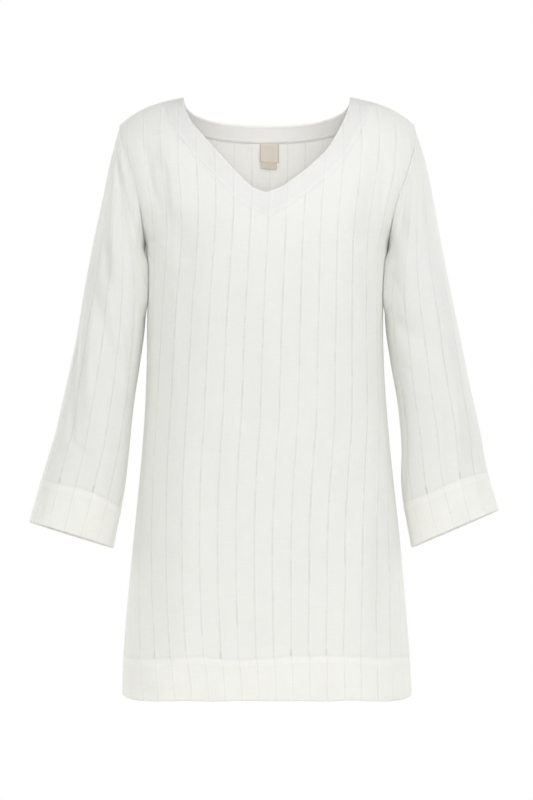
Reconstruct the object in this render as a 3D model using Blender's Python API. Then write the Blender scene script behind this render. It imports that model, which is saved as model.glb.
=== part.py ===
# A white linen nightshirt with a V neck and long flared sleeves, hollow and filled out as it is
# when worn. Metres, +Z up, the front towards -Y, the wearer's left towards +X. The origin lies
# midway between the two neck points, where the shoulder seams meet the neckline.
#
# Every panel is a wall: a grid of outer points worked out from the sizes below, and the same
# points moved in by the cloth's thickness. "Out" is a distance from the middle line, to either
# side, and "down" is a distance below the neck points.

import bpy
import numpy as np


class Table:
    """Rows of sizes under named columns, read between the rows along a smooth curve."""

    def __init__(self, names, rows):
        self.names = names.split()
        self.rows = np.array(rows, dtype=float)

    def column(self, name):
        return self.rows[:, self.names.index(name)]

    def at(self, position, name):
        return smooth(self.rows[:, 0], self.column(name), position)


WALL = 0.0012
FACING_WALL = 0.0010
LABEL_WALL = 0.0010
SEAM_GAP = 0.0003
SLEEVE_GAP = 0.0004             # along X, which leaves SEAM_GAP across the slanting seam

# Shoulders: a gentle slope at the neck that rounds over towards the sleeve
NECK_HALF_WIDTH = 0.119
SHOULDER_WIDTH = 0.0895
SHOULDER_DROP = 0.039
SHOULDER_ROUNDING = 3.4

# Neck
BACK_NECK_DEPTH = 0.0343
BACK_NECK_SQUARENESS = 2.5
FRONT_FACING_WIDTH = 0.0275
BACK_FACING_WIDTH = 0.0245
FACING_SHOULDER_WIDTH = 0.030
FRONT_FACING_POINT = 0.0360     # from the V down to the facing's own point

# Body
UNDERARM_DOWN = 0.208
DOME_DOWN = 0.250               # the chest starts to curve in towards the shoulders here
HEM_DOWN = 0.8465
HEM_DEPTH = 0.055
HEM_DIP = 0.0026                # how far the hem sinks where the panels turn towards the sides
HEM_DIP_PLACE = 5
FOLD_STEP = 0.0010              # the height over which a turned-up hem thickens the wall
ARMHOLE_BOWL = 0.084            # height of the round lower part of an armhole
ARMHOLE_OPENING = {"front": 0.60, "back": 0.64}   # the armhole's depth, in panel depths
CUFF_DEPTH = 0.055

# Label and its tab, inside the back neck
LABEL_CENTRE = 0.0035
LABEL_WIDTH = 0.0265
LABEL_LENGTH = 0.0262
LABEL_STAND_OFF = 0.0008        # from the cloth behind, at the label's top
LABEL_LEAN = 0.0018             # how much further off its lower edge hangs
LABEL_DROP = 0.0011             # from the facing's free edge down to the label
TAB_CENTRE = 0.0029
TAB_WIDTH = 0.0218
TAB_LENGTH = 0.0090
TAB_LEAN = 0.0004

# Grid counts, in cells
CROWDING = 0.7                  # how much the rows crowd towards the shoulder seam
BAND_CELLS = 2
ACROSS_CELLS = 13
NECK_CELLS = {"front": 9, "back": 8}
CENTRE_CELLS = {"front": 3, "back": 4}
SKIRT_CELLS = 13
HEM_CELLS = 2
SLEEVE_CELLS = 20
CUFF_CELLS = 2

SIDES = {"left": 1, "right": -1}
FACES = {"front": -1, "back": 1}

# The seam between body and sleeve, seen from the front, from the shoulder to the underarm
ARMHOLE_ROWS = (
    (0.039, 0.2085, 0.2085),
    (0.060, 0.2103, 0.2068),
    (0.090, 0.2036, 0.1965),
    (0.120, 0.1943, 0.1862),
    (0.150, 0.1833, 0.1796),
    (0.180, 0.1762, 0.1757),
)

# Rings around the body: half widths to each side, half depths to the front and back, and the
# exponent of the rounded section, 2 for an ellipse and more for a squarer one
BODY_ROWS = (
    (0.208, 0.1732, 0.1732, 0.110, 0.103, 2.40),
    (0.250, 0.1682, 0.1706, 0.112, 0.105, 2.40),
    (0.332, 0.1654, 0.1708, 0.110, 0.102, 2.40),
    (0.400, 0.1675, 0.1718, 0.108, 0.101, 2.45),
    (0.470, 0.1725, 0.1752, 0.109, 0.104, 2.50),
    (0.550, 0.1803, 0.1818, 0.113, 0.109, 2.60),
    (0.630, 0.1890, 0.1897, 0.118, 0.114, 2.75),
    (0.710, 0.1958, 0.1973, 0.123, 0.119, 2.90),
    (0.790, 0.2022, 0.2035, 0.127, 0.123, 3.20),
    (0.850, 0.2053, 0.2055, 0.129, 0.125, 3.60),
)

# The V, from the neck points down to its point
FRONT_NECK_ROWS = (
    (0.000, 0.1190, 0.1190),
    (0.020, 0.1152, 0.1153),
    (0.040, 0.1075, 0.1066),
    (0.060, 0.0972, 0.0905),
    (0.080, 0.0850, 0.0732),
    (0.100, 0.0655, 0.0562),
    (0.120, 0.0417, 0.0366),
    (0.136, 0.0185, 0.0185),
    (0.143, 0.0000, 0.0000),
)

# Rings of a sleeve, seen from the front: where each one's inner and outer edge lies, and its
# half depth. The first is the armhole and the last the open end.
SLEEVE_COLUMNS = "place inner_out inner_down outer_out outer_down half_depth"
SLEEVE_ROWS = {
    "left": (
        (0, 0.1736, 0.2084, 0.2089, 0.0392, 0.066),
        (1, 0.1724, 0.2260, 0.2253, 0.0920, 0.065),
        (2, 0.1712, 0.2500, 0.2371, 0.1500, 0.063),
        (3, 0.1698, 0.2820, 0.2479, 0.2100, 0.060),
        (4, 0.1690, 0.3250, 0.2610, 0.2750, 0.057),
        (5, 0.1764, 0.3800, 0.2752, 0.3450, 0.054),
        (6, 0.1862, 0.4400, 0.2888, 0.4150, 0.050),
        (7, 0.1911, 0.5000, 0.3023, 0.4750, 0.047),
        (8, 0.1915, 0.5600, 0.3118, 0.5270, 0.044),
        (9, 0.2050, 0.6410, 0.3290, 0.5880, 0.041),
    ),
    "right": (
        (0, 0.1736, 0.2084, 0.2089, 0.0392, 0.066),
        (1, 0.1738, 0.2260, 0.2229, 0.0920, 0.065),
        (2, 0.1737, 0.2500, 0.2345, 0.1500, 0.063),
        (3, 0.1733, 0.2820, 0.2475, 0.2100, 0.060),
        (4, 0.1740, 0.3250, 0.2600, 0.2750, 0.057),
        (5, 0.1810, 0.3800, 0.2716, 0.3450, 0.054),
        (6, 0.1895, 0.4400, 0.2860, 0.4150, 0.050),
        (7, 0.1954, 0.5000, 0.2995, 0.4750, 0.047),
        (8, 0.2025, 0.5600, 0.3150, 0.5270, 0.044),
        (9, 0.2182, 0.6416, 0.3380, 0.6045, 0.041),
    ),
}
SLEEVE_SQUARENESS = 2.2
SLEEVE_FORWARD = 0.014          # how far the sleeve's end hangs in front of the shoulder
SLEEVE_TILT = 0.10              # the rise of the open end's front edge, per metre of depth
ARMHOLE_FADE = 0.30             # the share of a sleeve that still has the armhole's own shape

# The largest folds of the panels: soft troughs, or ridges where the depth is negative, from a
# top point to a bottom point. Out is positive towards the wearer's left.
FOLD_COLUMNS = "top_out top_down bottom_out bottom_down half_width depth"
BODY_FOLDS = {
    "front": Table(FOLD_COLUMNS, (
        (-0.168, 0.070, -0.148, 0.200, 0.016, 0.0050),
        (-0.145, 0.060, -0.122, 0.180, 0.014, -0.0030),
        (0.165, 0.080, 0.140, 0.215, 0.016, 0.0045),
        (0.142, 0.070, 0.116, 0.190, 0.014, -0.0030),
        (0.172, 0.590, 0.160, 0.740, 0.020, 0.0055),
        (0.140, 0.560, 0.128, 0.780, 0.022, -0.0030),
        (-0.150, 0.640, -0.160, 0.800, 0.022, 0.0045),
        (-0.110, 0.520, -0.118, 0.780, 0.024, -0.0025),
        (-0.060, 0.455, 0.080, 0.462, 0.014, 0.0015),
    )),
    "back": Table(FOLD_COLUMNS, (
        (-0.165, 0.075, -0.140, 0.230, 0.018, 0.0050),
        (0.163, 0.080, 0.138, 0.240, 0.018, 0.0050),
        (-0.070, 0.330, -0.085, 0.640, 0.026, 0.0045),
        (0.020, 0.360, 0.025, 0.700, 0.028, -0.0035),
        (0.090, 0.320, 0.105, 0.660, 0.026, 0.0045),
        (0.160, 0.560, 0.168, 0.780, 0.022, 0.0050),
        (-0.155, 0.580, -0.165, 0.790, 0.022, 0.0045),
    )),
}

# The largest folds of the sleeves. Along runs from 0 at the armhole to 1 at the open end, and
# around from 0 at the underarm seam through 0.5 at the outer edge, by way of the front.
SLEEVE_FOLD_COLUMNS = "top_along top_around bottom_along bottom_around half_width depth"
SLEEVE_FOLDS = {
    "left": Table(SLEEVE_FOLD_COLUMNS, (
        (0.12, 0.16, 0.36, 0.30, 0.035, 0.0040),
        (0.45, 0.10, 0.60, 0.34, 0.030, 0.0035),
        (0.50, 0.66, 0.62, 0.90, 0.035, 0.0040),
        (0.68, 0.30, 0.98, 0.26, 0.040, -0.0030),
    )),
    "right": Table(SLEEVE_FOLD_COLUMNS, (
        (0.10, 0.14, 0.40, 0.34, 0.035, 0.0045),
        (0.30, 0.34, 0.56, 0.12, 0.032, 0.0040),
        (0.46, 0.64, 0.60, 0.88, 0.035, 0.0040),
        (0.66, 0.22, 0.98, 0.18, 0.040, -0.0030),
    )),
}

LINEN = {"color": (0.80, 0.81, 0.76, 1.0), "roughness": 0.85}
LABEL_TAPE = {"color": (0.66, 0.57, 0.48, 1.0), "roughness": 0.75}


def smooth(knots, values, position):
    # Cubic pieces through the values, each slope taken from the rows on either side.
    slopes = np.gradient(values, knots)
    position = np.clip(position, knots[0], knots[-1])
    cell = np.clip(np.searchsorted(knots, position, side="right") - 1, 0, len(knots) - 2)
    span = knots[cell + 1] - knots[cell]
    t = (position - knots[cell]) / span
    rise = values[cell] * (1 + 2 * t) + slopes[cell] * span * t
    fall = values[cell + 1] * (3 - 2 * t) - slopes[cell + 1] * span * (1 - t)
    return rise * (1 - t) ** 2 + fall * t**2


def smoothstep(value):
    value = np.clip(value, 0, 1)
    return value * value * (3 - 2 * value)


def crowded(cells):
    # Shares from 0 to 1 that crowd towards 1, where the cloth turns over the shoulder.
    even = np.linspace(0, 1, cells + 1)
    return even * (1 - CROWDING) + np.sin(even * np.pi / 2) * CROWDING


def along(path, shares):
    # Points at shares of the length of a finely drawn path.
    steps = np.linalg.norm(np.diff(path, axis=0), axis=1)
    length = np.concatenate([[0], np.cumsum(steps)])
    return np.stack([np.interp(shares * length[-1], length, axis) for axis in path.T], axis=1)


def smooth_path(points, shares):
    # Points at shares of the length of a smooth curve through the given ones.
    points = np.asarray(points)
    steps = np.linalg.norm(np.diff(points, axis=0), axis=1)
    length = np.concatenate([[0], np.cumsum(steps)])
    fine = np.linspace(0, length[-1], 400)
    return along(np.stack([smooth(length, axis, fine) for axis in points.T], axis=1), shares)


BODY = Table("down left right front back square", BODY_ROWS)
SIDE_SEAM = Table("down left right", ARMHOLE_ROWS + tuple(row[:3] for row in BODY_ROWS))
FRONT_NECK = Table("down left right", FRONT_NECK_ROWS)


def shoulder_down(out):
    place = (out - NECK_HALF_WIDTH) / SHOULDER_WIDTH
    return SHOULDER_DROP * 0.5 * (place + np.maximum(place, 0) ** SHOULDER_ROUNDING)


def fold_depth(folds, first, second):
    # Each fold is a Gaussian trough across its line, which fades out past its two ends.
    depth = np.zeros(np.broadcast(first, second).shape)
    for top_a, top_b, bottom_a, bottom_b, half_width, size in folds.rows:
        line = np.array([bottom_a - top_a, bottom_b - top_b])
        length = np.linalg.norm(line)
        line = line / length
        run = ((first - top_a) * line[0] + (second - top_b) * line[1]) / length
        off = (first - top_a) * line[1] - (second - top_b) * line[0]
        fade = smoothstep(run / 0.3 + 0.5) * smoothstep((1 - run) / 0.3 + 0.5)
        depth = depth + size * fade * np.exp(-((off / half_width) ** 2))
    return depth


def panel_depth(out, down, side, face):
    # How far a panel lies from the plane of the side seams. Across, it follows a rounded ring
    # that stays open at the armhole, and above DOME_DOWN it closes in to the shoulder seam.
    half = SIDE_SEAM.at(down, side)
    square = BODY.at(down, "square")
    bowl = np.clip((UNDERARM_DOWN - down) / ARMHOLE_BOWL, 0, 1)
    opening = ARMHOLE_OPENING[face] * np.sqrt(1 - (1 - bowl) ** 2)
    across = (1 - (1 - opening**square) * np.minimum(out / half, 1) ** square) ** (1 / square)
    rise = np.clip((DOME_DOWN - down) / (DOME_DOWN - shoulder_down(out)), 0, 1)
    ring = BODY.at(down, face) - fold_depth(BODY_FOLDS[face], out * SIDES[side], down)
    return ring * np.sqrt(1 - rise**2) * across


def ring_row(down, side, cells):
    # Evenly spaced distances out, from the middle of a panel to its side seam.
    angle = np.linspace(0, np.pi / 2, 400)
    square = BODY.at(down, "square")
    half = SIDE_SEAM.at(down, side)
    depth = BODY.at(down, "front")
    out = half * np.sin(angle) ** (2 / square)
    ring = np.stack([out, depth * np.cos(angle) ** (2 / square)], axis=1)
    return along(ring, np.linspace(0, 1, cells + 1))[:, 0]


def neck_edge(side, face):
    # The neckline from the middle to the neck point, as (out, down).
    if face == "front":
        rows = np.stack([FRONT_NECK.column(side), FRONT_NECK.column("down")], axis=1)
        return smooth_path(rows[::-1], crowded(NECK_CELLS[face]))
    angle = np.linspace(0, np.pi / 2, 400)
    power = 2 / BACK_NECK_SQUARENESS
    path = np.stack([NECK_HALF_WIDTH * np.sin(angle) ** power,
                     BACK_NECK_DEPTH * np.cos(angle) ** power], axis=1)
    return along(path, crowded(NECK_CELLS[face]))


def facing_edge(neck, face):
    # The facing's free edge: the neckline moved into the panel by the facing's width.
    width = FRONT_FACING_WIDTH if face == "front" else BACK_FACING_WIDTH
    tangent = np.gradient(neck, axis=0)
    tangent /= np.linalg.norm(tangent, axis=1, keepdims=True)
    edge = neck + width * np.stack([-tangent[:, 1], tangent[:, 0]], axis=1)
    point = FRONT_FACING_POINT if face == "front" else width
    edge[0] = (0, neck[0, 1] + point)
    end = NECK_HALF_WIDTH + FACING_SHOULDER_WIDTH
    edge[-1] = (end, shoulder_down(end))
    return smooth_path(edge, crowded(NECK_CELLS[face]))


def coons_patch(bottom, top, first, last):
    # A grid that fills the space between four edges, row by row from the bottom.
    u = np.linspace(0, 1, len(bottom))[None, :, None]
    v = np.linspace(0, 1, len(first))[:, None, None]
    rows = (1 - v) * bottom[None] + v * top[None]
    columns = (1 - u) * first[:, None] + u * last[:, None]
    corners = ((1 - u) * (1 - v) * bottom[0] + u * (1 - v) * bottom[-1]
               + (1 - u) * v * top[0] + u * v * top[-1])
    return rows + columns - corners


def flat_grids(side, face):
    # The neck band, the yoke between it and the armhole, and the skirt, as (out, down) grids.
    neck = neck_edge(side, face)
    edge = facing_edge(neck, face)
    share = np.linspace(0, 1, BAND_CELLS + 1)[None, :, None]
    band = neck[:, None] * (1 - share) + edge[:, None] * share
    band[-1, :, 1] = shoulder_down(band[-1, :, 0])

    middle = np.linspace((0, UNDERARM_DOWN), edge[0], CENTRE_CELLS[face] + 1)
    first = np.concatenate([middle[:-1], edge])
    out = ring_row(UNDERARM_DOWN, side, ACROSS_CELLS)
    bottom = np.stack([out, np.full_like(out, UNDERARM_DOWN)], axis=1)
    out = np.linspace(edge[-1, 0], NECK_HALF_WIDTH + SHOULDER_WIDTH, ACROSS_CELLS + 1)
    top = np.stack([out, shoulder_down(out)], axis=1)
    yoke = coons_patch(bottom, top, first, armhole_edge(side, len(first) - 1))

    hem_top = HEM_DOWN - HEM_DEPTH
    downs = np.concatenate([np.linspace(UNDERARM_DOWN, hem_top, SKIRT_CELLS + 1),
                            np.linspace(hem_top + FOLD_STEP, HEM_DOWN, HEM_CELLS + 1)])
    skirt = np.stack([np.stack([ring_row(down, side, ACROSS_CELLS),
                                np.full(ACROSS_CELLS + 1, down)], axis=1) for down in downs])
    across = skirt[..., 0] / skirt[:, -1:, 0]
    lowness = ((downs - UNDERARM_DOWN) / (HEM_DOWN - UNDERARM_DOWN))[:, None] ** 2
    skirt[..., 1] += HEM_DIP * np.sin(np.pi * across**HEM_DIP_PLACE) * lowness
    return {"band": band, "yoke": yoke, "skirt": skirt}


def armhole_edge(side, cells):
    # The armhole seam from the underarm up to the shoulder, as (out, down).
    count = len(ARMHOLE_ROWS) + 1
    rows = np.stack([SIDE_SEAM.column(side), SIDE_SEAM.column("down")], axis=1)[:count]
    return smooth_path(rows[::-1], crowded(cells))


def place_grid(grid, side, face):
    # An (out, down) grid carried onto the body's surface.
    depth = panel_depth(grid[..., 0], grid[..., 1], side, face) + SEAM_GAP / 2
    return np.stack([SIDES[side] * grid[..., 0], FACES[face] * depth, -grid[..., 1]], axis=-1)


def grid_triangles(numbers, flipped):
    # Two triangles for each cell of a grid of point numbers.
    a, b = numbers[:-1, :-1].ravel(), numbers[:-1, 1:].ravel()
    c, d = numbers[1:, 1:].ravel(), numbers[1:, :-1].ravel()
    triangles = np.concatenate([np.stack([a, b, c], axis=1), np.stack([a, c, d], axis=1)])
    triangles = triangles[:, ::-1] if flipped else triangles
    same = ((triangles[:, 0] == triangles[:, 1]) | (triangles[:, 1] == triangles[:, 2])
            | (triangles[:, 2] == triangles[:, 0]))
    return triangles[~same]


def join_grids(grids):
    # Grids of points with shared edges, made one surface. Gives its points, and each grid's
    # point numbers.
    points = np.concatenate([grid.reshape(-1, 3) for grid in grids])
    keys = np.round(points / 1e-5).astype(np.int64)
    _, first, numbers = np.unique(keys, axis=0, return_index=True, return_inverse=True)
    numbers = numbers.reshape(-1)
    sizes = np.cumsum([grid.shape[0] * grid.shape[1] for grid in grids])[:-1]
    parts = [part.reshape(grid.shape[:2]) for part, grid in zip(np.split(numbers, sizes), grids)]
    return points[first], parts


def point_normals(points, triangles, on_seam):
    # Area-weighted normals. A point on a seam in the side plane leans to neither side of it.
    a, b, c = (points[triangles[:, k]] for k in range(3))
    face = np.cross(b - a, c - a)
    normals = np.zeros_like(points)
    for k in range(3):
        np.add.at(normals, triangles[:, k], face)
    normals[on_seam, 1] = 0
    return normals / np.linalg.norm(normals, axis=1, keepdims=True)


def rim_edges(triangles):
    # The directed edges that only one triangle has.
    edges = np.concatenate([triangles[:, [0, 1]], triangles[:, [1, 2]], triangles[:, [2, 0]]])
    present = {tuple(edge) for edge in edges}
    return [edge for edge in edges if (edge[1], edge[0]) not in present]


def make_wall(name, outer, inner, triangles, finish):
    # A closed wall: the outer points, the inner ones, and a strip around every free edge.
    count = len(outer)
    faces = [tuple(t) for t in triangles] + [tuple(t[::-1] + count) for t in triangles]
    for a, b in rim_edges(triangles):
        faces += [(b, a, a + count), (b, a + count, b + count)]
    mesh = bpy.data.meshes.new(name)
    mesh.from_pydata(np.concatenate([outer, inner]).tolist(), [],
                     [tuple(int(k) for k in face) for face in faces])
    mesh.shade_smooth()
    mesh.set_sharp_from_angle(angle=np.radians(50))
    mesh.materials.append(finish)
    mesh.validate()
    piece = bpy.data.objects.new(name, mesh)
    bpy.context.collection.objects.link(piece)
    return piece


def make_finish(name, values):
    finish = bpy.data.materials.new(name)
    finish.use_nodes = True
    shader = finish.node_tree.nodes["Principled BSDF"]
    shader.inputs["Base Color"].default_value = values["color"]
    shader.inputs["Roughness"].default_value = values["roughness"]
    shader.inputs["Metallic"].default_value = 0.0
    return finish


def make_panel(face, finish):
    # One panel, its two halves joined down the middle. Gives what its neighbours are made from:
    # the neck band, and the armhole's points and normals on each side.
    sides = [(side, grid_name) for side in SIDES for grid_name in ("band", "yoke", "skirt")]
    flat = {side: flat_grids(side, face) for side in SIDES}
    grids = [place_grid(flat[side][name], side, face) for side, name in sides]
    points, numbers = join_grids(grids)
    triangles = []
    for (side, name), part in zip(sides, numbers):
        mirrored = SIDES[side] * FACES[face] > 0
        triangles.append(grid_triangles(part, mirrored != (name == "skirt")))
    triangles = np.concatenate(triangles)
    normals = point_normals(points, triangles, np.abs(points[:, 1]) < SEAM_GAP)
    doubled = -points[:, 2] > HEM_DOWN - HEM_DEPTH + FOLD_STEP / 2
    thickness = np.where(doubled, 2 * WALL, WALL)[:, None]
    make_wall(face, points, points - normals * thickness, triangles, finish)

    shared = {"points": points, "normals": normals, "bands": [], "armholes": {}}
    for (side, name), part in zip(sides, numbers):
        if name == "band":
            shared["bands"].append((part, SIDES[side] * FACES[face] > 0))
        if name == "yoke":
            shared["armholes"][side] = (points[part[:, -1]], normals[part[:, -1]])
    return shared


def make_facing(name, panel, finish):
    # The facing lies inside the panel's neck band, on the same points moved in.
    used = np.unique(np.concatenate([part.ravel() for part, _ in panel["bands"]]))
    points, normals = panel["points"][used], panel["normals"][used]
    triangles = np.concatenate([grid_triangles(np.searchsorted(used, part), flipped)
                                for part, flipped in panel["bands"]])
    outer = points - normals * (WALL + SEAM_GAP)
    make_wall(name, outer, outer - normals * FACING_WALL, triangles, finish)


def sleeve_ring(table, place, around):
    # One ring of a sleeve: a rounded section spanned between its inner and outer edges.
    inner = np.array([table.at(place, "inner_out"), -table.at(place, "inner_down")])
    outer = np.array([table.at(place, "outer_out"), -table.at(place, "outer_down")])
    middle, half = (inner + outer) / 2, (outer - inner) / 2
    angle = 2 * np.pi * around
    power = 2 / SLEEVE_SQUARENESS
    across = -np.sign(np.cos(angle)) * np.abs(np.cos(angle)) ** power
    deep = np.sign(np.sin(angle)) * np.abs(np.sin(angle)) ** power
    deep = deep * table.at(place, "half_depth")
    share = place / table.rows[-1, 0]
    return np.stack([middle[0] + half[0] * across,
                     -SLEEVE_FORWARD * smoothstep(share) - deep,
                     middle[1] + half[1] * across + SLEEVE_TILT * share * deep], axis=1)


def make_sleeve(side, panels, finish):
    # The sleeve starts on the armhole's own points, a seam's gap away, and takes the shape of
    # its rings as it goes down.
    front, front_normals = panels["front"]["armholes"][side]
    back, back_normals = panels["back"]["armholes"][side]
    loop = np.concatenate([front, back[-2:0:-1]])
    loop_normals = np.concatenate([front_normals, back_normals[-2:0:-1]])
    loop[0, 1] = loop[len(front) - 1, 1] = 0
    loop = loop * (SIDES[side], 1, 1) + (SLEEVE_GAP, 0, 0)
    loop_normals = loop_normals * (SIDES[side], 1, 1)
    around = np.concatenate([np.linspace(0, 0.5, len(front)),
                             np.linspace(0.5, 1, len(back))[1:-1]])

    table = Table(SLEEVE_COLUMNS, SLEEVE_ROWS[side])
    last = table.rows[-1, 0]
    end = table.rows[-1]
    before = table.rows[-2]
    row_length = 0.5 * (np.hypot(end[1] - before[1], end[2] - before[2])
                        + np.hypot(end[3] - before[3], end[4] - before[4]))
    fold = last - CUFF_DEPTH / row_length
    places = np.concatenate([np.linspace(0, fold, SLEEVE_CELLS + 1),
                             np.linspace(fold + FOLD_STEP / row_length, last, CUFF_CELLS + 1)])
    first = sleeve_ring(table, 0.0, around)
    rings = []
    for place in places:
        share = place / last
        ring = sleeve_ring(table, place, around)
        fade = np.clip(1 - share / ARMHOLE_FADE, 0, 1) ** 2
        ring = ring + (loop - first) * fade
        middle = ring.mean(axis=0)
        radial = (ring - middle) / np.linalg.norm(ring - middle, axis=1, keepdims=True)
        sunk = fold_depth(SLEEVE_FOLDS[side], share, around) * smoothstep(share / 0.08)
        rings.append(ring - radial * sunk[:, None])
    grid = np.stack(rings)
    grid = np.concatenate([grid, grid[:, :1]], axis=1)

    points, (numbers,) = join_grids([grid])
    triangles = grid_triangles(numbers, True)
    normals = point_normals(points, triangles, np.zeros(len(points), dtype=bool))
    start = numbers[0, :-1]
    aligned = np.sum(normals[start] * loop_normals, axis=1)[:, None]
    share = smoothstep((aligned - 0.3) / 0.4)
    mixed = loop_normals * share + normals[start] * (1 - share)
    normals[start] = mixed / np.linalg.norm(mixed, axis=1, keepdims=True)
    doubled = np.zeros(len(points), dtype=bool)
    doubled[numbers[SLEEVE_CELLS + 1:]] = True
    thickness = np.where(doubled, 2 * WALL, WALL)[:, None]
    inner = points - normals * thickness
    if SIDES[side] < 0:
        points, inner = points * (-1, 1, 1), inner * (-1, 1, 1)
        triangles = triangles[:, ::-1]
    make_wall("sleeve_" + side, points, inner, triangles, finish)


def make_label(name, centre, width, length, top_down, stand_off, lean, finish):
    # A small flat tape that hangs inside the back, its top on the cloth and its end off it.
    outs = np.linspace(centre - width / 2, centre + width / 2, 4)
    shares = np.linspace(0, 1, 4)
    out, share = np.meshgrid(outs, shares)
    down = top_down + length * share
    depth = np.where(out > 0, panel_depth(np.abs(out), down, "left", "back"),
                     panel_depth(np.abs(out), down, "right", "back"))
    grid = np.stack([out, depth - WALL - stand_off - lean * share, -down], axis=-1)
    points, (numbers,) = join_grids([grid])
    triangles = grid_triangles(numbers, False)
    normals = point_normals(points, triangles, np.zeros(len(points), dtype=bool))
    make_wall(name, points, points - normals * LABEL_WALL, triangles, finish)


def main():
    for old in list(bpy.data.objects):
        bpy.data.objects.remove(old, do_unlink=True)
    linen = {name: make_finish("linen_" + name, LINEN)
             for name in ("front", "back", "sleeve_left", "sleeve_right", "facing")}
    tape = make_finish("label_tape", LABEL_TAPE)
    panels = {face: make_panel(face, linen[face]) for face in FACES}
    for side in SIDES:
        make_sleeve(side, panels, linen["sleeve_" + side])
    make_facing("front_neck_facing", panels["front"], linen["facing"])
    make_facing("back_neck_facing", panels["back"], linen["facing"])
    label_top = BACK_NECK_DEPTH + BACK_FACING_WIDTH + LABEL_DROP
    make_label("neck_label", LABEL_CENTRE, LABEL_WIDTH, LABEL_LENGTH, label_top,
               LABEL_STAND_OFF, LABEL_LEAN, tape)
    tab_top = label_top + LABEL_LENGTH + SEAM_GAP
    make_label("label_tab", TAB_CENTRE, TAB_WIDTH, TAB_LENGTH, tab_top,
               LABEL_STAND_OFF + LABEL_LEAN, TAB_LEAN, tape)


main()
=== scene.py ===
from functools import partial

import bpy
import numpy as np
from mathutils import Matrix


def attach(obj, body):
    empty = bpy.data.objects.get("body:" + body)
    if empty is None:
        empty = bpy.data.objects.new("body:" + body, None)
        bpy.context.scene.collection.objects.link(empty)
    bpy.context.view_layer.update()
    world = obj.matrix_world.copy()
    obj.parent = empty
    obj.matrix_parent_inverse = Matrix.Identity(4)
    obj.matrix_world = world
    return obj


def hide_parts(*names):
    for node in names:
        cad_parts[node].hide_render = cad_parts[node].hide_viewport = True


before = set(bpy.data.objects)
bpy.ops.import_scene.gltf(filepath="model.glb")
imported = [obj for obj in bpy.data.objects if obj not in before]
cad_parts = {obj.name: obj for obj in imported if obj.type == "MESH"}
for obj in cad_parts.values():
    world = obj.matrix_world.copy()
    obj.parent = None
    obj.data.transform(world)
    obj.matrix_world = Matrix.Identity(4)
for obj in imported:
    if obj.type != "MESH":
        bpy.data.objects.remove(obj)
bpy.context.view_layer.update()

scene = bpy.context.scene

# Metres, +Z up, the front towards -Y, the wearer's left towards +X. "Out" is a distance from the
# middle line to either side, "down" a distance below the neck points, and "across" an out with
# its side's sign. Every cloth is a closed wall: outer points, inner points and a rounded rim.

cameraSettings = {
    "place": (-0.0007, -3.9, -0.432),
    "lens": 123.05,
    "film": 36.0,
}


def addCamera(settings):
    camera = bpy.data.cameras.new("camera")
    camera.lens, camera.sensor_width = settings["lens"], settings["film"]
    holder = bpy.data.objects.new("camera", camera)
    holder.location = settings["place"]
    holder.rotation_euler = (np.pi / 2, 0, 0)
    scene.collection.objects.link(holder)
    scene.camera = holder


addCamera(cameraSettings)
print("camera placed")

# The garment's cut, and how finely it is drawn
cut = {
    "clothWall": 0.0008,
    "facingWall": 0.0007,
    "layerGap": 0.0001,
    "seamGap": 0.0001,
    "neckHalfWidth": 0.119,
    "shoulderWidth": 0.0895,
    "shoulderDrop": 0.039,
    "shoulderRounding": 3.4,
    "backNeckDepth": 0.0343,
    "backNeckSquareness": 2.5,
    "facingWidth": {"front": 0.0275, "back": 0.0245},
    "facingPoint": {"front": 0.0360, "back": 0.0245},
    "facingShoulderWidth": 0.030,
    "facingEndGap": 0.004,
    "underarmDown": 0.208,
    "domeDown": 0.250,
    "calmShare": 0.12,
    "foldFade": 0.3,
    "hemDown": 0.8465,
    "hemDepth": 0.055,
    "hemDip": 0.0026,
    "hemDipPlace": 5,
    "hemTurn": 0.002,
    "armholeBowl": 0.084,
    "armholeOpening": {"front": 0.60, "back": 0.64},
    "crowding": 0.7,
}
cells = {
    "band": 8,
    "across": 68,
    "neck": {"front": 56, "back": 42},
    "centre": {"front": 10, "back": 42},
    "skirt": 166,
    "hem": 22,
    "sleeve": 150,
    "cuff": 22,
    "tape": 24,
    "facingKnots": 9,
    "ringSteps": 400,
    "pathSteps": 800,
    "lineSteps": 500,
    "armholeSteps": 60,
    "lookup": (260, 160),
    "sampled": 4000,
    "weld": 1e-5,
    "tiny": 1e-12,
}
sides = {"left": 1, "right": -1}
faces = {"front": -1, "back": 1}


def table(names, rows):
    # Rows of sizes as one array for each named column.
    return dict(zip(names.split(), np.array(rows, dtype=float).T))


armholeRows = (
    (0.039, 0.2085, 0.2085),
    (0.060, 0.2103, 0.2068),
    (0.090, 0.2036, 0.1965),
    (0.120, 0.1943, 0.1862),
    (0.150, 0.1833, 0.1796),
    (0.180, 0.1762, 0.1757),
)
bodyRows = (
    (0.208, 0.1732, 0.1732, 0.110, 0.103, 2.40),
    (0.250, 0.1682, 0.1706, 0.112, 0.105, 2.40),
    (0.332, 0.1654, 0.1708, 0.110, 0.102, 2.40),
    (0.400, 0.1675, 0.1718, 0.108, 0.101, 2.45),
    (0.470, 0.1725, 0.1752, 0.109, 0.104, 2.50),
    (0.550, 0.1803, 0.1818, 0.113, 0.109, 2.60),
    (0.630, 0.1890, 0.1897, 0.118, 0.114, 2.75),
    (0.710, 0.1958, 0.1973, 0.123, 0.119, 2.90),
    (0.790, 0.2022, 0.2035, 0.127, 0.123, 3.20),
    (0.850, 0.2053, 0.2055, 0.129, 0.125, 3.60),
)
body = table("down left right front back square", bodyRows)
sideSeam = table("down left right", armholeRows + tuple(row[:3] for row in bodyRows))
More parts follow.
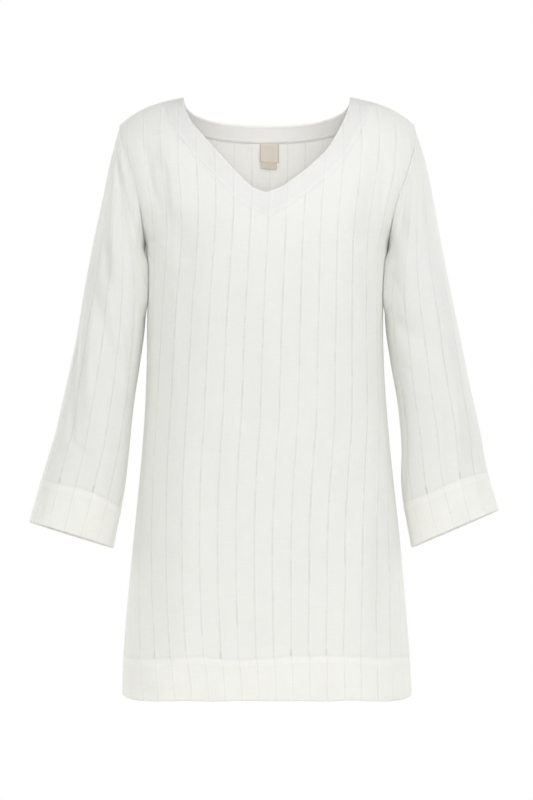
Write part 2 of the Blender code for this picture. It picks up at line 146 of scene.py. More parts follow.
frontNeck = table("down left right", (
    (0.000, 0.1190, 0.1190),
    (0.020, 0.1152, 0.1153),
    (0.040, 0.1075, 0.1066),
    (0.060, 0.0972, 0.0905),
    (0.080, 0.0850, 0.0732),
    (0.100, 0.0655, 0.0562),
    (0.120, 0.0417, 0.0366),
    (0.136, 0.0185, 0.0185),
    (0.143, 0.0000, 0.0000),
))
# How the stripes hang: where the middle one lies across, and their pitch
stripeLean = table("down middle pitch", (
    (0.00, 0.0025, 0.0262),
    (0.10, 0.0039, 0.0258),
    (0.16, 0.0027, 0.0247),
    (0.22, 0.0000, 0.0248),
    (0.30, -0.0040, 0.0255),
    (0.38, -0.0071, 0.0259),
    (0.45, -0.0092, 0.0262),
    (0.53, -0.0145, 0.0260),
    (0.61, -0.0175, 0.0255),
    (0.69, -0.0174, 0.0252),
    (0.78, -0.0155, 0.0243),
    (0.85, -0.0135, 0.0240),
))
# How far the turned-up hem's stitching rises above its mean, by share of the half width
hemLine = {
    "front": table("share rise", (
        (-1.00, -0.0032), (-0.75, 0.0003), (-0.56, 0.0039), (-0.42, 0.0043), (-0.30, 0.0015),
        (-0.16, 0.0012), (0.05, 0.0036), (0.20, 0.0061), (0.42, 0.0062), (0.60, 0.0045),
        (0.79, 0.0017), (1.00, -0.0018),
    )),
    "back": table("share rise", (
        (-1.00, -0.0018), (-0.70, 0.0010), (-0.35, 0.0030), (0.00, 0.0012), (0.30, 0.0034),
        (0.66, 0.0022), (1.00, -0.0020),
    )),
}
# The stitching pulls the cloth in and the turned-up cloth below it puffs out: height, place below
# the stitching and half width. The edge's waves: height, turns across and phase. Below the
# stitching the stripes jump aside, and lean towards the wearer's right.
hemShape = {
    "puff": (0.0007, 0.005, 0.0040),
    "pull": (0.0004, 0.0, 0.0022),
    "waves": ((0.0005, 17, 1.3), (0.0004, 9, -0.6)),
    "stripeJump": 0.0014,
    "jumpDepth": 0.003,
    "stripeLean": 0.0045,
    "leanFrom": 0.08,
    "leanOver": 0.2,
}
# Soft troughs, or ridges where the depth is negative, from a top point to a bottom point
foldColumns = "topAcross topDown bottomAcross bottomDown halfWidth depth"
bodyFolds = {
    "front": table(foldColumns, (
        (-0.168, 0.070, -0.148, 0.200, 0.016, 0.0050),
        (-0.145, 0.060, -0.122, 0.180, 0.014, -0.0030),
        (0.165, 0.080, 0.140, 0.215, 0.016, 0.0045),
        (0.142, 0.070, 0.116, 0.190, 0.014, -0.0030),
        (0.172, 0.590, 0.160, 0.740, 0.020, 0.0055),
        (0.140, 0.560, 0.128, 0.780, 0.022, -0.0030),
        (-0.150, 0.640, -0.160, 0.800, 0.022, 0.0045),
        (-0.110, 0.520, -0.118, 0.780, 0.024, -0.0025),
        (-0.060, 0.455, 0.080, 0.462, 0.014, 0.0015),
    )),
    "back": table(foldColumns, (
        (-0.165, 0.075, -0.140, 0.230, 0.018, 0.0050),
        (0.163, 0.080, 0.138, 0.240, 0.018, 0.0050),
        (-0.070, 0.330, -0.085, 0.640, 0.026, 0.0045),
        (0.020, 0.360, 0.025, 0.700, 0.028, -0.0035),
        (0.090, 0.320, 0.105, 0.660, 0.026, 0.0045),
        (0.160, 0.560, 0.168, 0.780, 0.022, 0.0050),
        (-0.155, 0.580, -0.165, 0.790, 0.022, 0.0045),
    )),
}
# Finer creases of the cloth, in the same columns
bodyCreases = {
    "front": table(foldColumns, (
        (-0.174, 0.070, -0.1556, 0.159, 0.0050, 0.0024),
        (-0.1575, 0.098, -0.1542, 0.139, 0.0042, -0.0018),
        (-0.1570, 0.153, -0.1531, 0.187, 0.0040, -0.0019),
        (-0.1533, 0.188, -0.1497, 0.216, 0.0040, -0.0015),
        (-0.1440, 0.100, -0.1339, 0.201, 0.0042, 0.0022),
        (-0.1339, 0.195, -0.1390, 0.242, 0.0040, 0.0020),
        (-0.1234, 0.175, -0.1180, 0.240, 0.0140, 0.0046),
        (-0.1500, 0.235, -0.1460, 0.490, 0.0150, 0.0036),
        (0.1655, 0.101, 0.1591, 0.171, 0.0045, 0.0022),
        (0.1420, 0.140, 0.1382, 0.176, 0.0040, 0.0018),
        (0.1554, 0.157, 0.1578, 0.196, 0.0060, -0.0013),
        (0.1480, 0.120, 0.1500, 0.210, 0.0050, 0.0010),
        (0.1300, 0.110, 0.1260, 0.200, 0.0070, 0.0009),
        (-0.0500, 0.215, -0.0850, 0.300, 0.0120, 0.0010),
        (0.0600, 0.205, 0.0950, 0.320, 0.0130, 0.0011),
        (-0.1420, 0.503, -0.0350, 0.504, 0.0040, 0.0007),
        (0.0830, 0.492, 0.1600, 0.501, 0.0040, 0.0008),
        (0.0180, 0.371, 0.0900, 0.368, 0.0042, 0.0006),
        (0.0840, 0.402, 0.1190, 0.403, 0.0040, 0.0005),
        (-0.1300, 0.285, -0.1270, 0.420, 0.0080, -0.0014),
        (-0.1700, 0.320, -0.1688, 0.455, 0.0080, 0.0016),
        (0.1404, 0.285, 0.1445, 0.360, 0.0060, 0.0009),
        (-0.0300, 0.330, -0.0550, 0.455, 0.0150, 0.0009),
        (0.0700, 0.380, 0.1100, 0.490, 0.0140, 0.0012),
        (-0.0170, 0.600, -0.0150, 0.700, 0.0200, 0.0012),
        (0.0341, 0.620, 0.0345, 0.655, 0.0040, 0.0006),
        (0.0340, 0.671, 0.0590, 0.659, 0.0040, 0.0007),
        (0.0100, 0.539, 0.0365, 0.534, 0.0045, -0.0006),
        (-0.0470, 0.776, 0.0340, 0.772, 0.0060, 0.0009),
        (-0.0750, 0.600, -0.0830, 0.770, 0.0130, 0.0012),
        (0.0850, 0.620, 0.0780, 0.775, 0.0130, 0.0013),
        (0.1535, 0.600, 0.1645, 0.690, 0.0060, 0.0022),
        (0.1800, 0.625, 0.1812, 0.690, 0.0060, 0.0018),
        (0.1720, 0.690, 0.1800, 0.780, 0.0070, -0.0013),
        (-0.1840, 0.812, -0.1760, 0.845, 0.0120, 0.0024),
        (-0.1690, 0.806, -0.1650, 0.840, 0.0080, 0.0012),
        (-0.1600, 0.660, -0.1640, 0.780, 0.0080, 0.0012),
        (0.1600, 0.822, 0.1750, 0.826, 0.0070, 0.0012),
        (0.0820, 0.775, 0.0980, 0.774, 0.0050, 0.0006),
    )),
    "back": table(foldColumns, (
        (-0.170, 0.075, -0.152, 0.165, 0.0050, 0.0022),
        (-0.150, 0.090, -0.128, 0.190, 0.0060, 0.0013),
        (-0.156, 0.140, -0.150, 0.200, 0.0045, -0.0014),
        (0.168, 0.080, 0.154, 0.170, 0.0050, 0.0020),
        (0.150, 0.092, 0.130, 0.180, 0.0060, 0.0013),
        (0.152, 0.150, 0.149, 0.205, 0.0050, -0.0012),
        (-0.080, 0.150, -0.060, 0.270, 0.0120, 0.0012),
        (0.070, 0.160, 0.052, 0.290, 0.0130, 0.0011),
        (-0.120, 0.380, -0.130, 0.520, 0.0120, 0.0014),
        (0.130, 0.360, 0.140, 0.520, 0.0120, 0.0014),
        (-0.030, 0.560, -0.036, 0.740, 0.0130, 0.0013),
        (0.060, 0.640, 0.066, 0.780, 0.0120, 0.0013),
        (-0.100, 0.650, -0.108, 0.785, 0.0110, 0.0012),
        (-0.130, 0.506, -0.010, 0.503, 0.0042, 0.0007),
        (0.030, 0.500, 0.140, 0.497, 0.0042, 0.0007),
        (0.010, 0.230, -0.004, 0.330, 0.0120, 0.0009),
        (-0.168, 0.600, -0.176, 0.700, 0.0060, 0.0018),
        (0.160, 0.640, 0.168, 0.760, 0.0070, 0.0016),
        (0.176, 0.806, 0.170, 0.845, 0.0110, 0.0020),
        (-0.060, 0.300, -0.020, 0.297, 0.0045, 0.0005),
    )),
}
# Gentle unevenness of hanging cloth: across and down wavelengths, phase and height of each wave
bodyRipples = {
    "front": ((0.090, 0.610, 0.4, 0.00060), (0.057, 0.350, 2.1, 0.00040),
              (0.071, -0.420, 4.0, 0.00035), (0.038, 0.270, 1.2, 0.00016),
              (0.150, 0.160, 3.1, 0.00035)),
    "back": ((0.098, -0.570, 1.7, 0.00065), (0.061, 0.380, 0.3, 0.00045),
             (0.074, 0.300, 5.0, 0.00035), (0.041, -0.260, 2.6, 0.00018),
             (0.140, 0.190, 0.9, 0.00035)),
}


def smoothAt(columns, name, position):
    # Cubic pieces through a column's values, each slope taken from the rows on either side.
    knots, values = next(iter(columns.values())), columns[name]
    slopes = np.gradient(values, knots)
    position = np.clip(position, knots[0], knots[-1])
    row = np.clip(np.searchsorted(knots, position, side="right") - 1, 0, len(knots) - 2)
    span = knots[row + 1] - knots[row]
    t = (position - knots[row]) / span
    rise = values[row] * (1 + 2 * t) + slopes[row] * span * t
    fall = values[row + 1] * (3 - 2 * t) - slopes[row + 1] * span * (1 - t)
    return rise * (1 - t) ** 2 + fall * t**2


def smoothStep(value):
    # 3t^2 - 2t^3, held at 0 and 1 beyond its ends.
    value = np.clip(value, 0, 1)
    return value * value * (3 - 2 * value)


def bell(value):
    # A Gaussian: 1 at 0, falling to both sides.
    return np.exp(-(value**2))


def beside(*columns):
    return np.stack(columns, axis=-1)


def unit(vectors):
    # Each row at length 1.
    return vectors / np.maximum(np.linalg.norm(vectors, axis=1, keepdims=True), cells["tiny"])


def evenly(count):
    return np.linspace(0, 1, count + 1)


def foldedSteps(start, fold, end, before, after):
    # Even steps as far as the fold of a hem, and others from there to the end.
    return np.concatenate([np.linspace(start, fold, before + 1)[:-1],
                           np.linspace(fold, end, after + 1)])


def sumsSoFar(steps, axis=0):
    # The sums of the first steps, from none to all of them.
    return np.insert(np.cumsum(steps, axis=axis), 0, 0, axis=axis)


def quarterRing(width, depth, square, count):
    # A quarter of a super-ellipse, from the middle out to its width.
    angle, power = np.linspace(0, np.pi / 2, count), 2 / square
    return beside(width * np.sin(angle) ** power, depth * np.cos(angle) ** power)


def lengthsAlong(path):
    return sumsSoFar(np.linalg.norm(np.diff(path, axis=0), axis=1))


def pointsAlong(path, shares):
    # Points at shares of the length of a finely drawn path.
    length = lengthsAlong(path)
    return beside(*(np.interp(shares * length[-1], length, axis) for axis in path.T))


def smoothPath(points, shares):
    # Points at shares of the length of a smooth curve through the given ones.
    length = lengthsAlong(points)
    fine = np.linspace(0, length[-1], cells["pathSteps"])
    columns = {"length": length, **{str(k): axis for k, axis in enumerate(points.T)}}
    path = beside(*(smoothAt(columns, str(k), fine) for k in range(points.shape[1])))
    return pointsAlong(path, shares)


def crowded(count):
    # Shares from 0 to 1 that crowd towards 1, where the cloth turns over the shoulder.
    even = evenly(count)
    return even * (1 - cut["crowding"]) + np.sin(even * np.pi / 2) * cut["crowding"]


def foldDepth(folds, first, second):
    # Each fold is a Gaussian trough across its line, which fades out past its two ends.
    depth = np.zeros(np.broadcast(first, second).shape)
    for topA, topB, bottomA, bottomB, halfWidth, size in np.stack(list(folds.values()), axis=1):
        line = np.array([bottomA - topA, bottomB - topB])
        length = np.linalg.norm(line)
        line = line / length
        run = ((first - topA) * line[0] + (second - topB) * line[1]) / length
        off = (first - topA) * line[1] - (second - topB) * line[0]
        top, bottom = (smoothStep(place / cut["foldFade"] + 0.5) for place in (run, 1 - run))
        depth = depth + size * top * bottom * bell(off / halfWidth)
    return depth


def rippleDepth(waves, across, down):
    # A sum of plane sine waves of uneven lengths and directions.
    depth = np.zeros(np.broadcast(across, down).shape)
    for acrossLength, downLength, phase, height in waves:
        turns = across / acrossLength + down / downLength
        depth = depth + height * np.sin(2 * np.pi * turns + phase)
    return depth


def hemRoll(below):
    # The puff's Gaussian less the pull's.
    puff, pull = (height * bell((below - place) / halfWidth)
                  for height, place, halfWidth in (hemShape["puff"], hemShape["pull"]))
    return puff - pull


def hemTop(out, side, face, down):
    # How far down the hem's stitching lies, at a place across.
    share = np.clip(out / smoothAt(sideSeam, side, down), 0, 1) * sides[side]
    return cut["hemDown"] - cut["hemDepth"] - smoothAt(hemLine[face], "rise", share)


def shoulderDown(out):
    # The shoulder seam drops along a line plus a power of the distance from the neck point.
    place = (out - cut["neckHalfWidth"]) / cut["shoulderWidth"]
    return cut["shoulderDrop"] * 0.5 * (place + np.maximum(place, 0) ** cut["shoulderRounding"])


def panelDepth(out, down, side, face, fine=True):
    # How far a panel lies from the plane of the side seams: a super-ellipse across, left open at
    # the armhole, times a quarter circle that closes it in to the shoulder seam.
    half, square = smoothAt(sideSeam, side, down), smoothAt(body, "square", down)
    bowl = np.clip((cut["underarmDown"] - down) / cut["armholeBowl"], 0, 1)
    opening = cut["armholeOpening"][face] * np.sqrt(1 - (1 - bowl) ** 2)
    across = (1 - (1 - opening**square) * np.minimum(out / half, 1) ** square) ** (1 / square)
    rise = np.clip((cut["domeDown"] - down) / (cut["domeDown"] - shoulderDown(out)), 0, 1)
    ring = smoothAt(body, face, down) - foldDepth(bodyFolds[face], out * sides[side], down)
    if fine:
        calm = smoothStep((1 - out / half) / cut["calmShare"])
        ring = ring - foldDepth(bodyCreases[face], out * sides[side], down) * calm
        ring = ring - rippleDepth(bodyRipples[face], out * sides[side], down) * calm
        ring = ring + hemRoll(down - hemTop(out, side, face, down)) * calm
    return ring * np.sqrt(1 - rise**2) * across


def ringRow(down, side, count):
    # Evenly spaced distances out along a super-ellipse, from the middle to the side seam.
    ring = quarterRing(smoothAt(sideSeam, side, down), smoothAt(body, "front", down),
                       smoothAt(body, "square", down), cells["ringSteps"])
    return pointsAlong(ring, evenly(count))[:, 0]


def neckEdge(side, face):
    # The neckline from the middle to the neck point: a smooth V in front, a super-ellipse behind.
    if face == "front":
        rows = beside(frontNeck[side], frontNeck["down"])
        return smoothPath(rows[::-1], crowded(cells["neck"][face]))
    path = quarterRing(cut["neckHalfWidth"], cut["backNeckDepth"], cut["backNeckSquareness"],
                       cells["pathSteps"])
    return pointsAlong(path, crowded(cells["neck"][face]))


def facingEdge(neck, face):
    # The facing's free edge: the neckline moved into the panel by the facing's width.
    coarse = neck[:: max(1, len(neck) // cells["facingKnots"])]
    coarse = coarse if np.allclose(coarse[-1], neck[-1]) else np.concatenate([coarse, neck[-1:]])
    tangent = unit(np.gradient(coarse, axis=0))
    edge = coarse + cut["facingWidth"][face] * beside(-tangent[:, 1], tangent[:, 0])
    edge[0] = (0, coarse[0, 1] + cut["facingPoint"][face])
    end = cut["neckHalfWidth"] + cut["facingShoulderWidth"]
    edge[-1] = (end, shoulderDown(end))
    below = edge[:, 1] > shoulderDown(edge[:, 0]) + cut["facingEndGap"]
    below[-1] = True
    return smoothPath(edge[below], crowded(cells["neck"][face]))


def armholeEdge(side, count):
    rows = beside(sideSeam[side], sideSeam["down"])[:len(armholeRows) + 1]
    return smoothPath(rows[::-1], crowded(count))


def coonsPatch(bottom, top, first, last):
    # A grid that fills the space between four edges: both ruled surfaces less the corners' blend.
    u = evenly(len(bottom) - 1)[None, :, None]
    v = evenly(len(first) - 1)[:, None, None]
    corners = ((1 - u) * (1 - v) * bottom[0] + u * (1 - v) * bottom[-1]
               + (1 - u) * v * top[0] + u * v * top[-1])
    upDown = (1 - v) * bottom[None] + v * top[None]
    return upDown + (1 - u) * first[:, None] + u * last[:, None] - corners


def flatGrids(side, face):
    # The neck band, the yoke between it and the armhole, and the skirt, as (out, down) grids.
    neck = neckEdge(side, face)
    edge = facingEdge(neck, face)
    share = evenly(cells["band"])[None, :, None]
    band = neck[:, None] * (1 - share) + edge[:, None] * share
    band[-1, :, 1] = shoulderDown(band[-1, :, 0])

    middle = np.linspace((0, cut["underarmDown"]), edge[0], cells["centre"][face] + 1)
    first = np.concatenate([middle[:-1], edge])
    out = ringRow(cut["underarmDown"], side, cells["across"])
    bottom = beside(out, np.full_like(out, cut["underarmDown"]))
    out = np.linspace(edge[-1, 0], cut["neckHalfWidth"] + cut["shoulderWidth"], cells["across"] + 1)
    top = beside(out, shoulderDown(out))
    yoke = coonsPatch(bottom, top, first, armholeEdge(side, len(first) - 1))

    fold = cut["hemDown"] - cut["hemDepth"]
    downs = foldedSteps(cut["underarmDown"], fold, cut["hemDown"], cells["skirt"], cells["hem"])
    rows = np.stack([ringRow(down, side, cells["across"]) for down in downs])
    skirt = beside(rows, np.broadcast_to(downs[:, None], rows.shape))
    across = skirt[..., 0] / skirt[:, -1:, 0]
    lowness = ((downs - cut["underarmDown"]) / (cut["hemDown"] - cut["underarmDown"]))[:, None] ** 2
    skirt[..., 1] += cut["hemDip"] * np.sin(np.pi * across ** cut["hemDipPlace"]) * lowness
    wave = sum(height * np.sin(across * turns * sides[side] + phase)
               for height, turns, phase in hemShape["waves"])
    skirt[..., 1] += wave * np.sin(np.pi * across) * lowness**2
    return {"band": band, "yoke": yoke, "skirt": skirt}


def clothLookup(side, face):
    # The cloth's own lengths over a panel: across from the middle line, and down from the hem up.
    # Its columns crowd towards the side seam, where the cloth turns back fastest.
    rows, columns = cells["lookup"]
    share = 1 - np.linspace(1, 0, columns) ** 3
    downs = np.linspace(0, cut["hemDown"] + 0.01, rows)
    down = np.broadcast_to(downs[:, None], (rows, columns))
    out = share[None, :] * smoothAt(sideSeam, side, downs)[:, None]
    depth = panelDepth(out, down, side, face, fine=False)
    arc = sumsSoFar(np.hypot(np.diff(out, axis=1), np.diff(depth, axis=1)), axis=1)
    path = sumsSoFar(np.hypot(np.diff(down, axis=0), np.diff(depth, axis=0))[::-1])[::-1]
    half = smoothAt(sideSeam, side, downs)
    return {"arc": arc, "path": downs[-1] - path, "last": downs[-1], "half": half}


def readLookup(lookup, name, out, down):
    # The value between four points of a lookup, weighted by nearness.
    grid = lookup[name]
    row = np.clip(down / lookup["last"] * (grid.shape[0] - 1), 0, grid.shape[0] - 1.001)
    half = np.interp(down, np.linspace(0, lookup["last"], grid.shape[0]), lookup["half"])
    share = 1 - np.cbrt(1 - np.clip(out / half, 0, 1))
    column = np.clip(share * (grid.shape[1] - 1), 0, grid.shape[1] - 1.001)
    i, j = row.astype(int), column.astype(int)
    a, b = row - i, column - j
    return (grid[i, j] * (1 - a) * (1 - b) + grid[i + 1, j] * a * (1 - b)
            + grid[i, j + 1] * (1 - a) * b + grid[i + 1, j + 1] * a * b)


def nearestOn(path, points):
    # For each point the distance to a path, and how far along the path that is.
    fine = pointsAlong(path, evenly(cells["lineSteps"] - 1))
    length = lengthsAlong(fine)
    near, place = np.full(len(points), np.inf), np.zeros(len(points))
    for start in range(0, len(points), cells["sampled"]):
        part = slice(start, start + cells["sampled"])
        off = np.linalg.norm(points[part][:, None] - fine[None], axis=2)
        near[part], place[part] = off.min(axis=1), length[off.argmin(axis=1)]
    return near, place


def joinGrids(grids):
    # Grids of points with shared edges, made one set of points. Gives each grid's numbers too.
    points = np.concatenate([grid.reshape(-1, 3) for grid in grids])
    keys = np.round(points / cells["weld"]).astype(np.int64)
    _, first, numbers = np.unique(keys, axis=0, return_index=True, return_inverse=True)
    sizes = np.cumsum([grid.shape[0] * grid.shape[1] for grid in grids])[:-1]
    parts = np.split(numbers.reshape(-1), sizes)
    return points[first], first, [part.reshape(grid.shape[:2]) for part, grid in zip(parts, grids)]


def gridQuads(numbers, flipped):
    quads = beside(numbers[:-1, :-1], numbers[:-1, 1:], numbers[1:, 1:], numbers[1:, :-1])
    quads = quads.reshape(-1, 4)
    return quads[:, ::-1] if flipped else quads


def pointNormals(points, quads, onSeam=None):
    # Area-weighted normals from each quad's diagonals.
    a, b, c, d = (points[quads[:, k]] for k in range(4))
    cross = np.cross(c - a, d - b)
    normals = beside(*(np.bincount(quads.ravel(), np.repeat(axis, 4), len(points))
                       for axis in cross.T))
    if onSeam is not None:
        normals[onSeam, 1] = 0
    return unit(normals)


def rimEdges(quads, count):
    # The directed edges that only one quad has.
    edges = np.concatenate([quads[:, [k, (k + 1) % 4]] for k in range(4)])
    forward, backward = edges[:, 0] * count + edges[:, 1], edges[:, 1] * count + edges[:, 0]
    return edges[~np.isin(forward, backward)]


def makeWall(name, outer, inner, quads, material, layers):
    # A closed wall: outer points, inner points, and a rim rounded by one row pushed outwards.
    count = len(outer)
    edges = rimEdges(quads, count)
    rim = np.unique(edges)
    outward = np.zeros((count, 3))
    tangent = outer[edges[:, 1]] - outer[edges[:, 0]]
    through = (outer - inner)[edges[:, 0]]
    push = unit(np.cross(tangent, through))
    for end in (0, 1):
        np.add.at(outward, edges[:, end], push)
    thickness = np.linalg.norm(outer[rim] - inner[rim], axis=1, keepdims=True)
    middle = (outer[rim] + inner[rim]) / 2 + unit(outward[rim]) * thickness / 2
    place = np.zeros(count, dtype=int)
    place[rim] = 2 * count + np.arange(len(rim))
    a, b = edges[:, 0], edges[:, 1]
    points = np.concatenate([outer, inner, middle])
    allQuads = np.concatenate([quads, quads[:, ::-1] + count, beside(b, a, place[a], place[b]),
                               beside(place[b], place[a], a + count, b + count)])

    mesh = bpy.data.meshes.new(name)
    mesh.vertices.add(len(points))
    mesh.vertices.foreach_set("co", points.ravel().astype(np.float32))
    mesh.loops.add(allQuads.size)
    mesh.loops.foreach_set("vertex_index", allQuads.ravel().astype(np.int32))
    mesh.polygons.add(len(allQuads))
    mesh.polygons.foreach_set("loop_start", np.arange(0, allQuads.size, 4, dtype=np.int32))
    mesh.update(calc_edges=True)
    mesh.shade_smooth()
    source = np.concatenate([np.arange(count), np.arange(count), rim])
    inside = np.concatenate([np.zeros(count), np.ones(count), np.full(len(rim), 0.5)])
    layers = {layer: values[source] for layer, values in layers.items()}
    for layer, values in {"inside": inside, **layers}.items():
        values = values.astype(np.float32)
        if values.ndim == 2:
            uv = mesh.uv_layers.new(name=layer)
            uv.data.foreach_set("uv", values[allQuads.ravel()].ravel())
        else:
            attribute = mesh.attributes.new(layer, "FLOAT", "POINT")
            attribute.data.foreach_set("value", values)
    mesh.materials.append(material)
    piece = bpy.data.objects.new(name, mesh)
    scene.collection.objects.link(piece)
    print("made", name, len(allQuads) * 2, "triangles")
    return piece


def feed(tree, socket, value):
    if isinstance(value, bpy.types.NodeSocket):
        tree.links.new(value, socket)
    else:
        socket.default_value = value


def sums(tree):
    # Short ways to write Math nodes: any operation by its name, products, sums and differences.
    def step(operation, *values, clamp=False):
        node = tree.nodes.new("ShaderNodeMath")
        node.operation, node.use_clamp = operation, clamp
        for socket, value in zip(node.inputs, values):
            feed(tree, socket, value)
        return node.outputs[0]
    return step, *(partial(step, operation) for operation in ("MULTIPLY", "ADD", "SUBTRACT"))


def ramp(tree, value, low, high, start=0.0, end=1.0):
    # A smooth change from start to end while the value goes from low to high.
    node = tree.nodes.new("ShaderNodeMapRange")
    node.interpolation_type = "SMOOTHSTEP"
    names = ("Value", "From Min", "From Max", "To Min", "To Max")
    for name, entry in zip(names, (value, low, high, start, end)):
        feed(tree, node.inputs[name], entry)
    return node.outputs["Result"]


def fade(tree, value, low, high, start=1.0):
    return ramp(tree, value, low, high, start, 0.0)


def noise(tree, vector, scale, detail=2.0, roughness=0.5):
    node = tree.nodes.new("ShaderNodeTexNoise")
    feed(tree, node.inputs["Vector"], vector)
    for name, value in (("Scale", scale), ("Detail", detail), ("Roughness", roughness)):
        feed(tree, node.inputs[name], value)
    return node.outputs["Fac"]


def combine(tree, x, y, z=0.0):
    node = tree.nodes.new("ShaderNodeCombineXYZ")
    for socket, value in zip(node.inputs, (x, y, z)):
        feed(tree, socket, value)
    return node.outputs[0]


def newGroup(name, inputs, outputs):
    # A node group whose inputs are name: starting value, and whose outputs are plain values.
    group = bpy.data.node_groups.new(name, "ShaderNodeTree")
    kind = "NodeSocketFloat"
    for label, value in inputs.items():
        socket = group.interface.new_socket(label, in_out="INPUT", socket_type=kind)
        socket.default_value = value
    for label in outputs:
        group.interface.new_socket(label, in_out="OUTPUT", socket_type=kind)
    given, result = group.nodes.new("NodeGroupInput"), group.nodes.new("NodeGroupOutput")
    return group, given.outputs, result.inputs


# Slubs: scales across and down, and the noise's range in which they swell. Heights and tints say
# how much each part counts.
weaveShape = {
    "crossing": 0.35,
    "weftSlubs": (48, 640, 0.56, 0.80),
    "warpSlubs": (700, 36, 0.58, 0.82),
    "thinSlubs": (70, 420, 0.60, 0.80),
    "slubRoughness": 0.6,
    "warpShare": 0.5,
    "thinShare": 0.9,
    "clouds": (34, 26),
    "threadHeight": 0.07,
    "slubHeight": 0.12,
    "slubTint": 0.034,
    "cloudTint": 0.040,
    "fibreTint": 0.045,
}


def buildWeave(shape):
    # Plain weave: the product of two sines, and slubs, long thin swellings of single threads.
    group, given, result = newGroup(
        "linenWeave", {"Across": 0, "Down": 0, "Thread": 0.00055, "Slub": 1.0}, ("Height", "Tint"))
    step, times, plus, less = sums(group)
    turns = step("DIVIDE", 3.14159, given["Thread"])
    warp, weft = (step("SINE", times(given[way], turns)) for way in ("Across", "Down"))
    threads = plus(*(times(step("ABSOLUTE", wave), 0.5) for wave in (warp, weft)))
    weave = plus(threads, times(times(warp, weft), shape["crossing"]))

    def field(acrossScale, downScale, detail=2.0):
        place = combine(group, times(given["Across"], acrossScale), times(given["Down"], downScale))
        return noise(group, place, 1.0, detail, shape["slubRoughness"])

    def slub(acrossScale, downScale, low, high):
        swelling = field(acrossScale, downScale)
        return swelling, ramp(group, swelling, low, high)

    weftField, weftSlub = slub(*shape["weftSlubs"])
    warpField, warpSlub = slub(*shape["warpSlubs"])
    slubs = plus(weftSlub, times(warpSlub, shape["warpShare"]))
    slubs = less(slubs, times(slub(*shape["thinSlubs"])[1], shape["thinShare"]))
    slubs = times(slubs, given["Slub"])
    clouds = less(field(*shape["clouds"], detail=3.0), 0.5)
    fibre = less(plus(weftField, warpField), 1.0)
    height = plus(times(weave, shape["threadHeight"]), times(slubs, shape["slubHeight"]))
    tint = plus(times(slubs, shape["slubTint"]), times(clouds, shape["cloudTint"]))
    feed(group, result["Height"], height)
    feed(group, result["Tint"], plus(tint, times(fibre, shape["fibreTint"])))
    return group


# A place holds a noise's scales along the stripe and from stripe to stripe, and its seed. The gape
# has none along the stripe. Line and margin are shares of half a line's width, bars of their pitch.
stripeShape = {
    "wanderPlace": (22, 7.31),
    "wander": 0.0022,
    "line": (0.45, 1.35),
    "barSway": 1.6,
    "bars": (0.26, 0.40),
    "barShare": 0.4,
    "unevenPlace": (34, 3.77, 4.0),
    "unevenRoughness": 0.75,
    "uneven": (0.30, 0.72),
    "gapePlace": (1.37, 9.0),
    "gape": (0.52, 0.64),
    "margin": (1.4, 2.8),
    "marginHeight": 0.10,
    "openingDepth": 0.30,
}


def buildStripes(shape):
    # Drawn-thread stripes: where threads were left out, a row of small openings with bars between
    # them, uneven along its length, and bunched threads on both sides. Ends says where a stripe
    # runs under a stitched line, and some of its openings gape.
    group, given, result = newGroup("drawnThreadStripes", {
        "Stripe": 0, "Down": 0, "Ends": 0, "Pitch": 0.0255, "Line Width": 0.0029,
        "Bar Pitch": 0.0019, "Unevenness": 0.75,
    }, ("Opening", "Margin", "Height"))
    step, times, plus, less = sums(group)
    number = step("FLOOR", plus(given["Stripe"], 0.5))
    off = times(less(given["Stripe"], number), given["Pitch"])
    half = times(given["Line Width"], 0.5)

    def seat(downScale, numberScale, offset=0.0):
        return combine(group, times(given["Down"], downScale), times(number, numberScale), offset)

    def fadeAcross(shares):
        return fade(group, distance, *(times(half, share) for share in shares))

    place = seat(*shape["wanderPlace"])
    wander = times(less(noise(group, place, 1.0), 0.5), shape["wander"])
    distance = step("ABSOLUTE", plus(off, wander))
    line = fadeAcross(shape["line"])
    sway = times(noise(group, place, 3.0, 1.0), shape["barSway"])
    bars = step("FRACT", plus(step("DIVIDE", given["Down"], given["Bar Pitch"]), sway))
    holes = fade(group, step("ABSOLUTE", less(bars, 0.5)), *shape["bars"])
    tight = noise(group, seat(*shape["unevenPlace"]), 1.0, 4.0, shape["unevenRoughness"])
    uneven = less(1.0, ramp(group, tight, *shape["uneven"]))
    strength = less(1.0, times(given["Unevenness"], uneven))
    scale, seed = shape["gapePlace"]
    chance = noise(group, combine(group, times(number, scale), 0.0, seed), 1.0, 0.0)
    gape = times(given["Ends"], ramp(group, chance, *shape["gape"]))
    opening = times(times(line, plus(strength, gape)),
                    plus(times(holes, 1 - shape["barShare"]), shape["barShare"]))
    margin = less(fadeAcross(shape["margin"]), line, clamp=True)
    feed(group, result["Opening"], opening)
    feed(group, result["Margin"], margin)
    feed(group, result["Height"],
         less(times(margin, shape["marginHeight"]), times(opening, shape["openingDepth"])))
    return group


# Shares of the thread's width across it, and of a stitch's length along it
stitchShape = {
    "across": (0.35, 0.75),
    "along": (0.34, 0.44),
    "groove": (0.0, 3.2),
    "threadHeight": 0.22,
    "grooveDepth": 0.18,
}


